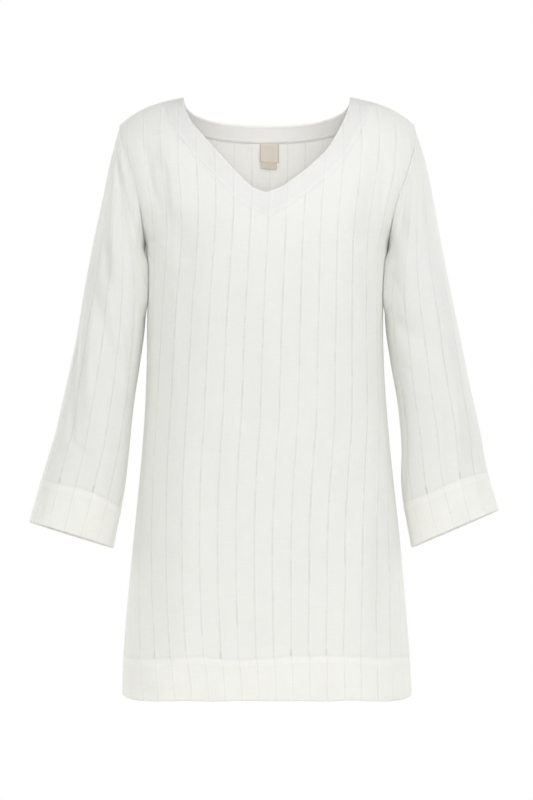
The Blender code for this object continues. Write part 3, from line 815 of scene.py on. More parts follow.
def buildStitches(shape):
    # A row of machine stitches along a line: short threads with a pull between them, in a groove.
    group, given, result = newGroup("stitchRow", {
        "Distance": 0, "Along": 0, "Place": 0.002, "Stitch Length": 0.0028, "Thread Width": 0.0005,
    }, ("Thread", "Height"))
    step, times, plus, less = sums(group)
    off = step("ABSOLUTE", less(given["Distance"], given["Place"]))
    beat = step("FRACT", step("DIVIDE", given["Along"], given["Stitch Length"]))
    beat = step("ABSOLUTE", less(beat, 0.5))
    width = given["Thread Width"]
    across, groove = (fade(group, off, times(width, low), times(width, high))
                      for low, high in (shape["across"], shape["groove"]))
    thread = times(across, fade(group, beat, *shape["along"]))
    feed(group, result["Thread"], thread)
    feed(group, result["Height"],
         less(times(thread, shape["threadHeight"]), times(groove, shape["grooveDepth"])))
    return group


def buildStrip():
    # 1 along an edge, between two distances from it, and 0 elsewhere, with soft borders.
    group, given, result = newGroup(
        "edgeStrip", {"Distance": 0, "From": 0, "To": 0.004, "Soft": 0.0006}, ("Mask",))
    _, times, plus, less = sums(group)
    inner, outer = (change(group, given["Distance"], less(given[end], given["Soft"]),
                           plus(given[end], given["Soft"]))
                    for change, end in ((ramp, "From"), (fade, "To")))
    feed(group, result["Mask"], times(inner, outer))
    return group


crumpleShape = {
    "broadStretch": 0.45,
    "broadRoughness": 0.55,
    "ridgeLean": 0.6,
    "ridgeStretch": 0.3,
    "ridgeSeed": 7.0,
    "ridgeScale": 1.9,
    "ridgeSteepness": 4.0,
    "broadHeight": 1.1,
    "ridgeHeight": 0.16,
}


def buildCrumple(shape):
    # Slight creasing of washed linen, longer along the warp than across it.
    group, given, result = newGroup(
        "softCrumple", {"Across": 0, "Down": 0, "Size": 0.03}, ("Height",))
    step, times, plus, less = sums(group)
    across, down = (step("DIVIDE", given[way], given["Size"]) for way in ("Across", "Down"))
    broad = combine(group, across, times(down, shape["broadStretch"]))
    broad = less(noise(group, broad, 1.0, 3.0, shape["broadRoughness"]), 0.5)
    ridge = combine(group, plus(across, times(down, shape["ridgeLean"])),
                    times(down, shape["ridgeStretch"]), shape["ridgeSeed"])
    ridge = less(noise(group, ridge, shape["ridgeScale"]), 0.5)
    ridge = less(1.0, step("ABSOLUTE", times(ridge, shape["ridgeSteepness"])), clamp=True)
    feed(group, result["Height"],
         plus(times(broad, shape["broadHeight"]), times(ridge, shape["ridgeHeight"])))
    return group


groups = {
    "weave": buildWeave(weaveShape),
    "stripes": buildStripes(stripeShape),
    "stitches": buildStitches(stitchShape),
    "strip": buildStrip(),
    "crumple": buildCrumple(crumpleShape),
}
print("shader groups made")

# The stripes' openings are painted with painted shade, the dark inside seen through them, fainter
# where the cloth is doubled, near the shoulders (by depth down) and over the facing. Stripe ends
# and
# the hem: from, to and softness, from the hem's stitching up.
linen = {
    "colour": (0.838, 0.840, 0.795),
    # Painted light: the inner side's colour is lighter and warmer than the cloth's, in place of
    # light bounced inside and shone through the cloth.
    "inside": (0.915, 0.902, 0.868),
    # Painted shade: the colour of the stripes' openings, the dark inside of the garment seen
    # through them.
    "openings": (0.52, 0.53, 0.49),
    "openingShadeStrength": 0.35,
    "doubledShadeShare": 0.45,
    "topShadeShare": 0.55,
    "topFade": (0.02, 0.26),
    "facedShadeShare": 0.40,
    "facedPart": (-1.0, 0.0, 0.0006),
    "singlePart": (0.0, 2.0, 0.0004),
    "stripeEnds": (0.0006, 0.0095, 0.0012),
    "marginLift": 0.016,
    "roughness": 0.88,
    "tintRoughness": 1.2,
    "sheen": 0.70,
    "sheenRoughness": 0.3,
    "sheerness": 0.45,
    "sheerTint": (1.0, 0.96, 0.84),
    "sheerDepth": 0.003,
    "crumpleSize": 0.040,
    "crumpleHeight": 0.55,
    "thread": (0.86, 0.865, 0.83),
    "threadCover": 0.7,
    "stitchLength": 0.0028,
}
# The facing is painted far lighter than the cloth: partly the doubled cloth's own lighter tone,
# mostly painted light for light reaching inside the neck. It has no sheerness.
facingLinen = {**linen, "colour": (0.975, 0.967, 0.942), "sheerness": 0.0}
# Strips along an edge that are lighter or darker: layer, from, to, softness and amount. The cloth
# is a little lighter where doubled; the narrow lighter strips along stitched edges are painted
# highlights, and the darker strips beside them painted shade.
hemStrips = (
    ("hemSeam", -1.0, 0.0, 0.0004, 0.014),
    # Painted highlight on the puff below the stitching.
    ("hemSeam", -0.0095, -0.0004, 0.0012, 0.022),
    # Painted shade beside the stitched step, above it.
    ("hemSeam", 0.0008, 0.0030, 0.0010, -0.016),
)
facingStrips = (
    ("facingSeam", -1.0, 0.0, 0.0004, 0.014),
    # Painted highlight along the facing's raised edge.
    ("facingSeam", -0.0045, -0.0004, 0.0008, 0.044),
    # Painted shade beside the facing's edge.
    ("facingSeam", 0.0006, 0.0026, 0.0008, -0.032),
    # Painted highlight along the neckline's fold.
    ("neckSeam", -1.0, 0.0040, 0.0010, 0.028),
)
# The lighter strip on the sleeve beside the armhole seam is a painted highlight on the seam's
# ridge.
armholeStrips = (("armholeSeam", -1.0, 0.0060, 0.0014, 0.022),)
# Each row of stitches: its layer, and how far from the edge it lies
hemStitches = (("hemSeam", -0.0006),)
facingStitches = (("facingSeam", -0.0018), ("neckSeam", 0.0035))
armholeStitches = (("armholeSeam", 0.0030),)


def placeGroup(tree, name, **values):
    node = tree.nodes.new("ShaderNodeGroup")
    node.node_tree = groups[name]
    for label, value in values.items():
        feed(tree, node.inputs[label.replace("_", " ")], value)
    return node.outputs


def mixColour(tree, factor, first, second, kind="MIX"):
    node = tree.nodes.new("ShaderNodeMix")
    node.data_type, node.blend_type = "RGBA", kind
    feed(tree, node.inputs[0], factor)
    colourSockets = [socket for socket in node.inputs if socket.type == "RGBA"]
    for socket, value in zip(colourSockets, (first, second)):
        feed(tree, socket, (*value, 1.0) if isinstance(value, tuple) else value)
    return next(socket for socket in node.outputs if socket.type == "RGBA")


def tinted(tree, colour, tint):
    # The colour times 1 plus the tint
    _, _, plus, _ = sums(tree)
    shade = plus(1.0, tint)
    return mixColour(tree, 1.0, colour, combine(tree, shade, shade, shade), "MULTIPLY")


def attributeOf(tree, name):
    node = tree.nodes.new("ShaderNodeAttribute")
    node.attribute_name = name
    return node.outputs["Fac"]


def uvOf(tree, name):
    node = tree.nodes.new("ShaderNodeUVMap")
    node.uv_map = name
    split = tree.nodes.new("ShaderNodeSeparateXYZ")
    tree.links.new(node.outputs["UV"], split.inputs[0])
    return split.outputs[0], split.outputs[1]


def newMaterial(name):
    material = bpy.data.materials.new(name)
    material.use_nodes = True
    return material, material.node_tree, material.node_tree.nodes["Principled BSDF"]


def finishMaterial(tree, shader, colour, roughness, height):
    # What every cloth ends in. The height is in millimetres.
    bump = tree.nodes.new("ShaderNodeBump")
    for node, name, value in (
            (shader, "Metallic", 0.0), (shader, "Base Color", colour),
            (shader, "Roughness", roughness), (bump, "Strength", 1.0), (bump, "Distance", 0.001),
            (bump, "Height", height), (shader, "Normal", bump.outputs["Normal"])):
        feed(tree, node.inputs[name], value)


def linenMaterial(name, values, stitched, strips, hemmed=True, faced=False):
    # Hemmed cloth has stripes, their openings painted with painted shade, and an inside painted
    # lighter
    # and warmer: painted light in place of light bounced about and shone through the cloth. Faced
    # cloth has a facing behind it.
    material, tree, shader = newMaterial(name)
    for socket, key in (("Sheen Weight", "sheen"), ("Sheen Roughness", "sheenRoughness"),
                        ("Subsurface Weight", "sheerness"), ("Subsurface Radius", "sheerTint"),
                        ("Subsurface Scale", "sheerDepth")):
        shader.inputs[socket].default_value = values[key]
    _, times, plus, less = sums(tree)
    across, down = uvOf(tree, "cloth")
    weave = placeGroup(tree, "weave", Across=across, Down=down)
    crumple = placeGroup(tree, "crumple", Across=across, Down=down, Size=values["crumpleSize"])
    height = plus(times(crumple["Height"], values["crumpleHeight"]), weave["Height"])
    colour, tint = values["colour"], weave["Tint"]

    def strip(layer, low, high, soft):
        distance = uvOf(tree, layer)[0]
        return placeGroup(tree, "strip", Distance=distance, From=low, To=high, Soft=soft)["Mask"]

    if hemmed:
        # Painted light: the inner side is mixed to a lighter, warmer colour in place of bounced and
        # shone-through light.
        colour = mixColour(tree, attributeOf(tree, "inside"), colour, values["inside"])
        single, ends = (strip("hemSeam", *values[part]) for part in ("singlePart", "stripeEnds"))
        stripe = attributeOf(tree, "stripe")
        stripes = placeGroup(tree, "stripes", Stripe=stripe, Down=down, Ends=ends)
        doubled = values["openingShadeStrength"] * values["doubledShadeShare"]
        depth = ramp(tree, single, 0.0, 1.0, doubled, values["openingShadeStrength"])
        depth = times(depth, ramp(tree, down, *values["topFade"], values["topShadeShare"], 1.0))
        if faced:
            under = strip("facingSeam", *values["facedPart"])
            depth = times(depth, ramp(tree, under, 0.0, 1.0, 1.0, values["facedShadeShare"]))
        # Painted shade: the openings are mixed towards the dark inside seen through them, less
        # where cloth lies behind.
        colour = mixColour(tree, times(stripes["Opening"], depth), colour, values["openings"])
        height = plus(height, stripes["Height"])
        tint = plus(tint, times(stripes["Margin"], values["marginLift"]))
    for *place, amount in strips:
        tint = plus(tint, times(strip(*place), amount))
    colour = tinted(tree, colour, tint)
    for layer, place in stitched:
        distance, along = uvOf(tree, layer)
        row = placeGroup(tree, "stitches", Distance=distance, Along=along, Place=place,
                         Stitch_Length=values["stitchLength"])
        cover = times(row["Thread"], values["threadCover"])
        colour = mixColour(tree, cover, colour, values["thread"])
        height = plus(height, row["Height"])
    roughness = less(values["roughness"], times(weave["Tint"], values["tintRoughness"]))
    finishMaterial(tree, shader, colour, roughness, height)
    return material


panelStitches = hemStitches + facingStitches + armholeStitches
materials = {
    face: linenMaterial(face + "Linen", linen, panelStitches, hemStrips + facingStrips, faced=True)
    for face in faces
}
materials["sleeve"] = linenMaterial("sleeveLinen", linen, hemStitches, hemStrips + armholeStrips)
materials["facing"] = linenMaterial("facingLinen", facingLinen, facingStitches, facingStrips[1:],
                                    hemmed=False)
print("materials made")


def clothInside(points, normals, layers):
    # The inner points: one wall in from the outer ones, and two where the cloth is turned up.
    turned = smoothStep(-layers["hemSeam"][:, :1] / cut["hemTurn"])
    return points - normals * cut["clothWall"] * (1 + turned)


def makePanel(face):
    # One panel from its six grids, with the cloth's lengths, stripes and seams as its layers.
    keys = [(side, name) for side in sides for name in ("band", "yoke", "skirt")]
    flat = {side: flatGrids(side, face) for side in sides}
    lookups = {side: clothLookup(side, face) for side in sides}
    layerNames = ("cloth", "stripe", "hemSeam", "facingSeam", "neckSeam", "armholeSeam")
    grids, layers = [], {name: [] for name in layerNames}
    for side, name in keys:
        grid = flat[side][name]
        out, down = grid[..., 0], grid[..., 1]
        depth = panelDepth(out, down, side, face) + cut["seamGap"] / 2
        grids.append(beside(sides[side] * out, faces[face] * depth, -down))
        out, down = out.ravel(), down.ravel()
        arc = readLookup(lookups[side], "arc", out, down) * sides[side]
        path = readLookup(lookups[side], "path", out, down)
        layers["cloth"].append(beside(arc, path))
        above = hemTop(out, side, face, down) - down
        lean = np.clip((hemShape["leanFrom"] - arc) / hemShape["leanOver"], 0, 1)
        lean = lean * hemShape["stripeLean"] * np.clip(-above / cut["hemDepth"], 0, 1)
        shift = smoothStep(-above / hemShape["jumpDepth"]) * hemShape["stripeJump"] + lean
        middle, pitch = smoothAt(stripeLean, "middle", down), smoothAt(stripeLean, "pitch", down)
        layers["stripe"].append((arc - middle - shift) / pitch)
        layers["hemSeam"].append(beside(above, arc))
        neck, points = neckEdge(side, face), beside(out, down)
        near, place = nearestOn(facingEdge(neck, face), points)
        layers["facingSeam"].append(beside(-near if name == "band" else near, place))
        layers["neckSeam"].append(beside(*nearestOn(neck, points)))
        armhole = armholeEdge(side, cells["armholeSteps"])
        layers["armholeSeam"].append(beside(*nearestOn(armhole, points)))
    points, first, numbers = joinGrids(grids)
    quads = np.concatenate([gridQuads(part, (sides[side] * faces[face] > 0) != (name == "skirt"))
                            for (side, name), part in zip(keys, numbers)])
    layers = {name: np.concatenate(values)[first] for name, values in layers.items()}
    normals = pointNormals(points, quads, np.abs(points[:, 1]) < cut["seamGap"])
    piece = makeWall(face + "Cloth", points, clothInside(points, normals, layers), quads,
                     materials[face], layers)
    return piece, {"points": points, "normals": normals, "layers": layers, "keys": keys,
                   "numbers": numbers}


panels, made = {}, {}
for face in faces:
    made[face], panels[face] = makePanel(face)


def makeFacing(face):
    # The facing lies inside the panel's neck band, on the same points moved in.
    panel = panels[face]
    bands = [(part, sides[side] * faces[face] > 0)
             for (side, name), part in zip(panel["keys"], panel["numbers"]) if name == "band"]
    used = np.unique(np.concatenate([part.ravel() for part, _ in bands]))
    points, normals = panel["points"][used], panel["normals"][used]
    quads = np.concatenate([gridQuads(np.searchsorted(used, part), flipped)
                            for part, flipped in bands])
    outer = points - normals * (cut["clothWall"] + cut["layerGap"])
    layers = {name: panel["layers"][name][used] for name in ("cloth", "facingSeam", "neckSeam")}
    inner = outer - normals * cut["facingWall"]
    return makeWall(face + "FacingCloth", outer, inner, quads, materials["facing"], layers)


for face in faces:
    made[face + "Facing"] = makeFacing(face)

sleeveColumns = "place innerOut innerDown outerOut outerDown halfDepth"
sleeveRings = {
    "left": table(sleeveColumns, (
        (0, 0.1736, 0.2084, 0.2089, 0.0392, 0.066),
        (1, 0.1724, 0.2260, 0.2253, 0.0920, 0.065),
        (2, 0.1712, 0.2500, 0.2371, 0.1500, 0.063),
        (3, 0.1698, 0.2820, 0.2479, 0.2100, 0.060),
        (4, 0.1690, 0.3250, 0.2610, 0.2750, 0.057),
        (5, 0.1764, 0.3800, 0.2752, 0.3450, 0.054),
        (6, 0.1862, 0.4400, 0.2888, 0.4150, 0.050),
        (7, 0.1911, 0.5000, 0.3023, 0.4750, 0.047),
        (8, 0.1915, 0.5600, 0.3118, 0.5270, 0.044),
        (9, 0.2050, 0.6410, 0.3290, 0.5880, 0.041),
    )),
    "right": table(sleeveColumns, (
        (0, 0.1736, 0.2084, 0.2089, 0.0392, 0.066),
        (1, 0.1738, 0.2260, 0.2229, 0.0920, 0.065),
        (2, 0.1737, 0.2500, 0.2345, 0.1500, 0.063),
        (3, 0.1733, 0.2820, 0.2475, 0.2100, 0.060),
        (4, 0.1740, 0.3250, 0.2600, 0.2750, 0.057),
        (5, 0.1810, 0.3800, 0.2716, 0.3450, 0.054),
        (6, 0.1895, 0.4400, 0.2860, 0.4150, 0.050),
        (7, 0.1954, 0.5000, 0.2995, 0.4750, 0.047),
        (8, 0.2025, 0.5600, 0.3150, 0.5270, 0.044),
        (9, 0.2182, 0.6416, 0.3380, 0.6045, 0.041),
    )),
}
sleeveShape = {
    "squareness": 2.2,
    "forward": 0.014,
    "tilt": 0.10,
    "armholeFade": 0.30,
    "seamGap": 0.0002,
    "cuffDepth": 0.055,
    "length": 0.60,
    "armholeRoll": 0.0012,
    "underarmFolds": ((0.93, 0.045, 0.0080), (0.045, 0.045, 0.0110)),
    "underarmGap": 0.0006,
    "tuckFrom": (0.214, 0.030),
    "tuckTo": (0.275, 0.045),
    "foldStart": 0.03,
    "wave": (0.0004, 5, 1.7),
    "rollRise": 0.0025,
    "rollFall": (0.0035, 0.0055),
    "sameWay": (0.3, 0.4),
    "stripeMiddle": {"left": (0.0128, 0.0175), "right": (0.0005, 0.0005)},
    "stripePitch": 0.0248,
}
# Along runs from 0 at the armhole to 1 at the open end, around from 0 at the underarm seam
# through 0.5 at the outer edge, by way of the front
sleeveFoldColumns = "topAlong topAround bottomAlong bottomAround halfWidth depth"
sleeveFolds = {
    "left": table(sleeveFoldColumns, (
        (0.12, 0.16, 0.36, 0.30, 0.035, 0.0040),
        (0.45, 0.10, 0.60, 0.34, 0.030, 0.0035),
        (0.50, 0.66, 0.62, 0.90, 0.035, 0.0040),
        (0.68, 0.30, 0.98, 0.26, 0.040, -0.0030),
    )),
    "right": table(sleeveFoldColumns, (
        (0.10, 0.14, 0.40, 0.34, 0.048, 0.0036),
        (0.30, 0.34, 0.56, 0.12, 0.040, 0.0034),
        (0.46, 0.64, 0.60, 0.88, 0.035, 0.0048),
        (0.66, 0.22, 0.98, 0.18, 0.040, -0.0036),
    )),
}
sleeveCreases = {
    "left": table(sleeveFoldColumns, (
        (0.03, 0.36, 0.24, 0.30, 0.016, -0.0009),
        (0.20, 0.240, 0.27, 0.278, 0.012, 0.0008),
        (0.342, 0.106, 0.519, 0.114, 0.016, -0.0012),
        (0.300, 0.130, 0.460, 0.190, 0.011, 0.0009),
        (0.580, 0.115, 0.606, 0.230, 0.009, 0.0010),
        (0.690, 0.110, 0.706, 0.200, 0.009, 0.0007),
        (0.620, 0.092, 0.880, 0.060, 0.013, 0.0020),
        (0.710, 0.258, 0.880, 0.242, 0.013, 0.0012),
        (0.650, 0.330, 0.890, 0.288, 0.020, -0.0016),
        (0.760, 0.385, 0.900, 0.362, 0.016, 0.0016),
        (0.935, 0.364, 0.985, 0.371, 0.020, 0.0013),
        (0.300, 0.720, 0.440, 0.860, 0.014, 0.0015),
        (0.420, 0.640, 0.560, 0.800, 0.016, 0.0018),
        (0.600, 0.820, 0.720, 0.660, 0.014, 0.0014),
        (0.060, 0.640, 0.200, 0.740, 0.014, -0.0013),
        (0.120, 0.800, 0.280, 0.700, 0.014, 0.0014),
        (0.740, 0.760, 0.920, 0.800, 0.016, 0.0012),
    )),
    "right": table(sleeveFoldColumns, (
        (-0.010, 0.430, 0.105, 0.170, 0.021, -0.0035),
        (0.045, 0.370, 0.230, 0.165, 0.022, 0.0026),
        (0.085, 0.375, 0.430, 0.235, 0.030, -0.0029),
        (0.050, 0.136, 0.170, 0.144, 0.011, -0.0017),
        (0.150, 0.440, 0.420, 0.385, 0.028, 0.0023),
        (0.400, 0.395, 0.600, 0.165, 0.027, 0.0029),
        (0.410, 0.280, 0.545, 0.200, 0.021, -0.0017),
        (0.500, 0.350, 0.760, 0.250, 0.026, -0.0026),
        (0.550, 0.425, 0.790, 0.330, 0.023, 0.0032),
        (0.795, 0.335, 0.836, 0.245, 0.011, 0.0017),
        (0.490, 0.185, 0.670, 0.112, 0.014, -0.0017),
        (0.410, 0.129, 0.560, 0.098, 0.012, 0.0020),
        (0.930, 0.402, 0.995, 0.386, 0.022, 0.0023),
        (0.280, 0.700, 0.420, 0.840, 0.014, 0.0022),
        (0.440, 0.620, 0.590, 0.820, 0.017, 0.0030),
        (0.580, 0.840, 0.700, 0.680, 0.014, 0.0020),
        (0.050, 0.660, 0.190, 0.760, 0.014, -0.0020),
        (0.100, 0.820, 0.260, 0.720, 0.014, 0.0020),
        (0.760, 0.740, 0.920, 0.790, 0.016, 0.0017),
    )),
}
# Where the turned-up cuffs are stitched: shares of the sleeve's length, round from the underarm
cuffLine = {
    "left": table("around along", (
        (0.00, 0.917), (0.10, 0.9165), (0.17, 0.915), (0.235, 0.9105), (0.30, 0.9045),
        (0.36, 0.9035), (0.50, 0.907), (0.65, 0.912), (0.80, 0.908), (0.90, 0.914), (1.00, 0.917),
    )),
    "right": table("around along", (
        (0.00, 0.926), (0.068, 0.925), (0.144, 0.920), (0.20, 0.9165), (0.25, 0.9135),
        (0.30, 0.9165), (0.36, 0.9185), (0.50, 0.915), (0.66, 0.911), (0.82, 0.918), (1.00, 0.926),
    )),
}


def sleeveRing(rings, place, around):
    # One ring of a sleeve: a super-ellipse spanned between its inner and outer edges.
    inner = np.array([smoothAt(rings, "innerOut", place), -smoothAt(rings, "innerDown", place)])
    outer = np.array([smoothAt(rings, "outerOut", place), -smoothAt(rings, "outerDown", place)])
    middle, half = (inner + outer) / 2, (outer - inner) / 2
    angle, power = 2 * np.pi * around, 2 / sleeveShape["squareness"]
    across = -np.sign(np.cos(angle)) * np.abs(np.cos(angle)) ** power
    deep = np.sign(np.sin(angle)) * np.abs(np.sin(angle)) ** power
    deep = deep * smoothAt(rings, "halfDepth", place)
    share = place / rings["place"][-1]
    return beside(middle[0] + half[0] * across,
                  -sleeveShape["forward"] * smoothStep(share) - deep,
                  middle[1] + half[1] * across + sleeveShape["tilt"] * share * deep)


def armholeLoop(side):
    # The armhole's points and normals, round by the front and back again behind.
    ends = {}
    for face in faces:
        panel = panels[face]
        part = panel["numbers"][panel["keys"].index((side, "yoke"))][:, -1]
        ends[face] = (panel["points"][part], panel["normals"][part])
    front, back = ends["front"], ends["back"]
    loop = np.concatenate([front[0], back[0][-2:0:-1]])
    normals = np.concatenate([front[1], back[1][-2:0:-1]])
    loop[0, 1] = loop[len(front[0]) - 1, 1] = 0
    around = np.concatenate([np.linspace(0, 0.5, len(front[0])),
                             np.linspace(0.5, 1, len(back[0]))[1:-1]])
    mirror = (sides[side], 1, 1)
    return loop * mirror + (sleeveShape["seamGap"], 0, 0), normals * mirror, around


def bodySide(side, deep, down):
    # How far out the body's surface is at a depth: the super-ellipse of its ring, solved for out.
    square = smoothAt(body, "square", down)
    depth = np.where(deep < 0, smoothAt(body, "front", down), smoothAt(body, "back", down))
    share = np.minimum(np.abs(deep) / depth, 1)
    return smoothAt(sideSeam, side, down) * (1 - share ** square) ** (1 / square)


def sleeveSunk(side, share, around):
    # How deep the cloth lies below a ring: folds, creases and a low wave, less the puff of the
    # cuff's stitching and the roll of the cloth beside the armhole seam.
    sunk = sum(foldDepth(folds[side], share, around) for folds in (sleeveFolds, sleeveCreases))
    height, turns, twist = sleeveShape["wave"]
    wave = height * np.sin(2 * np.pi * (around * turns + share * twist)) * np.sin(np.pi * share)
    sunk = (sunk + wave) * smoothStep(share / sleeveShape["foldStart"])
    cuffPlace = smoothAt(cuffLine[side], "along", around)
    sunk = sunk - hemRoll((share - cuffPlace) * sleeveShape["length"])
    run = share * sleeveShape["length"]
    fallFrom, fallOver = sleeveShape["rollFall"]
    roll = smoothStep(run / sleeveShape["rollRise"]) * (1 - smoothStep((run - fallFrom) / fallOver))
    return sunk - sleeveShape["armholeRoll"] * roll


def fillUnderarm(side, ring, around):
    # Folds of the underarm reach towards the body, as far as its surface and a small gap.
    down = -ring[:, 2]
    (first, rise), (last, fall) = sleeveShape["tuckFrom"], sleeveShape["tuckTo"]
    tucked = smoothStep((down - first) / rise) * (1 - smoothStep((down - last) / fall))
    pulled = ring[:, 0].copy()
    for middle, halfWidth, size in sleeveShape["underarmFolds"]:
        off = (around - middle + 0.5) % 1 - 0.5
        pulled -= size * bell(off / halfWidth) * tucked
    limit = bodySide(side, ring[:, 1], down) + sleeveShape["underarmGap"]
    return np.maximum(pulled, np.minimum(ring[:, 0], limit))


def makeSleeve(side):
    # Rings from the armhole's own points to the open end, with their folds sunk in.
    rings = sleeveRings[side]
    loop, loopNormals, around = armholeLoop(side)
    last = rings["place"][-1]
    ends = [np.hypot(*(np.diff(rings[edge + way])[-1] for way in ("Out", "Down")))
            for edge in ("inner", "outer")]
    fold = last - sleeveShape["cuffDepth"] / np.mean(ends)
    places = foldedSteps(0, fold, last, cells["sleeve"], cells["cuff"])
    start = sleeveRing(rings, 0.0, around)
    grid, plain = [], []
    for place in places:
        share = place / last
        ring = sleeveRing(rings, place, around)
        plain.append(ring)
        ring = ring + (loop - start) * np.clip(1 - share / sleeveShape["armholeFade"], 0, 1) ** 2
        radial = unit(ring - ring.mean(axis=0))
        ring = ring - radial * sleeveSunk(side, share, around)[:, None]
        ring[:, 0] = fillUnderarm(side, ring, around)
        grid.append(ring)
    grid, plain = np.stack(grid), np.stack(plain)

    # The cloth's own lengths: round from the outer edge, and down from the armhole
    close = lambda array: np.concatenate([array, array[:, :1]], axis=1)
    arcs = sumsSoFar(np.linalg.norm(np.diff(close(plain), axis=1), axis=2), axis=1)
    ridge = int(np.argmin(np.abs(around - 0.5)))
    arcs = (arcs[:, ridge:ridge + 1] - arcs)[:, :-1]
    run = sumsSoFar(np.linalg.norm(np.diff(grid, axis=0), axis=2).mean(axis=1))
    runs = np.broadcast_to(run[:, None], arcs.shape)
    shares = np.broadcast_to((places / last)[:, None], arcs.shape)
    first, second = sleeveShape["stripeMiddle"][side]
    middle = first + (second - first) * smoothStep((shares - 0.5) / 0.5)
    stripe = (arcs - middle) / sleeveShape["stripePitch"]
    cuffRun = np.interp(smoothAt(cuffLine[side], "along", around) * last, places, run)

    points, kept, (numbers,) = joinGrids([close(grid)])
    flat = lambda array: close(np.asarray(array)[..., None])[..., 0].ravel()[kept]
    quads = gridQuads(numbers, True)
    layers = {
        "cloth": beside(flat(arcs), flat(runs)),
        "stripe": flat(stripe),
        "hemSeam": beside(flat(cuffRun[None] - runs), flat(arcs)),
        "armholeSeam": beside(flat(runs), flat(arcs)),
    }
    normals = pointNormals(points, quads)
    ring = numbers[0, :-1]
    low, span = sleeveShape["sameWay"]
    aligned = smoothStep((np.sum(normals[ring] * loopNormals, axis=1)[:, None] - low) / span)
    normals[ring] = unit(loopNormals * aligned + normals[ring] * (1 - aligned))
    inner = clothInside(points, normals, layers)
    if sides[side] < 0:
        points, inner, quads = points * (-1, 1, 1), inner * (-1, 1, 1), quads[:, ::-1]
    return makeWall(side + "SleeveCloth", points, inner, quads, materials["sleeve"], layers)


for side in sides:
    made[side + "Sleeve"] = makeSleeve(side)

# Fades: from, to and strength. The border is a lighter line inside the darker woven edge.
labelSizes = {
    "top": cut["backNeckDepth"] + cut["facingWidth"]["back"] + 0.0011,
    "centre": 0.0035,
    "width": 0.0265,
    "length": 0.0262,
    "standOff": 0.0008,
    "lean": 0.0018,
    "wall": 0.0006,
    "skew": 0.0007,
    "curl": 0.0005,
    "tape": (0.800, 0.730, 0.640),
    "edge": (0.600, 0.500, 0.385),
    "edgeFade": (0.0005, 0.0013, 0.75),
    "border": (0.845, 0.785, 0.695),
    "borderPlace": 0.0021,
    "borderFade": (0.00015, 0.00045, 0.5),
    "thread": 0.00028,
    "slub": 0.25,
    "tint": 2.0,
    "ribsPerMetre": 11000,
    "ribHeight": 0.03,
    "ribRoughness": 0.5,
    "roughness": 0.72,
}
tabSizes = {
    **labelSizes,
    "top": labelSizes["top"] + labelSizes["length"] + 0.0003,
    "centre": 0.0029,
    "width": 0.0218,
    "length": 0.0090,
    "standOff": labelSizes["standOff"] + labelSizes["lean"],
    "lean": 0.0004,
    "tape": (0.755, 0.670, 0.560),
    "edge": (0.800, 0.620, 0.480),
}


def tapeMaterial(name, sizes):
    # Close satin tape: fine ribs across, a sine of the length, and a darker woven edge.
    material, tree, shader = newMaterial(name)
    step, times, plus, less = sums(tree)
    across, down = uvOf(tree, "cloth")
    weave = placeGroup(tree, "weave", Across=across, Down=down, Thread=sizes["thread"],
                       Slub=sizes["slub"])
    edge = step("MINIMUM", across, less(sizes["width"], across))
    ends = step("MINIMUM", down, less(sizes["length"], down))
    rim = step("ABSOLUTE", less(step("MINIMUM", edge, ends), sizes["borderPlace"]))
    colour = sizes["tape"]
    for place, part in ((edge, "edge"), (rim, "border")):
        colour = mixColour(tree, fade(tree, place, *sizes[part + "Fade"]), colour, sizes[part])
    colour = tinted(tree, colour, times(weave["Tint"], sizes["tint"]))
    ribs = times(step("SINE", times(down, sizes["ribsPerMetre"])), sizes["ribHeight"])
    roughness = plus(sizes["roughness"], times(ribs, sizes["ribRoughness"]))
    finishMaterial(tree, shader, colour, roughness, plus(ribs, weave["Height"]))
    return material


def makeTape(name, sizes):
    # A small sheet that follows the back's inside, its lower edge off the cloth and a bit skewed.
    u, v = np.meshgrid(evenly(cells["tape"]), evenly(cells["tape"]))
    out = sizes["centre"] + (u - 0.5) * sizes["width"]
    down = sizes["top"] + sizes["length"] * v + sizes["skew"] * (u - 0.5) * v * 2
    left, right = (panelDepth(np.abs(out), down, side, "back") for side in sides)
    curl = sizes["curl"] * (2 * u - 1) ** 2 * v
    depth = np.where(out > 0, left, right) - cut["clothWall"] - sizes["standOff"]
    depth = depth - sizes["lean"] * v - curl
    points, kept, (numbers,) = joinGrids([beside(out, depth, -down)])
    quads = gridQuads(numbers, False)
    inner = points - pointNormals(points, quads) * sizes["wall"]
    cloth = beside(u * sizes["width"], v * sizes["length"]).reshape(-1, 2)[kept]
    material = tapeMaterial(name + "Tape", sizes)
    return makeWall(name, points, inner, quads, material, {"cloth": cloth})


made["label"] = makeTape("neckLabel", labelSizes)
made["tab"] = makeTape("labelTab", tabSizes)

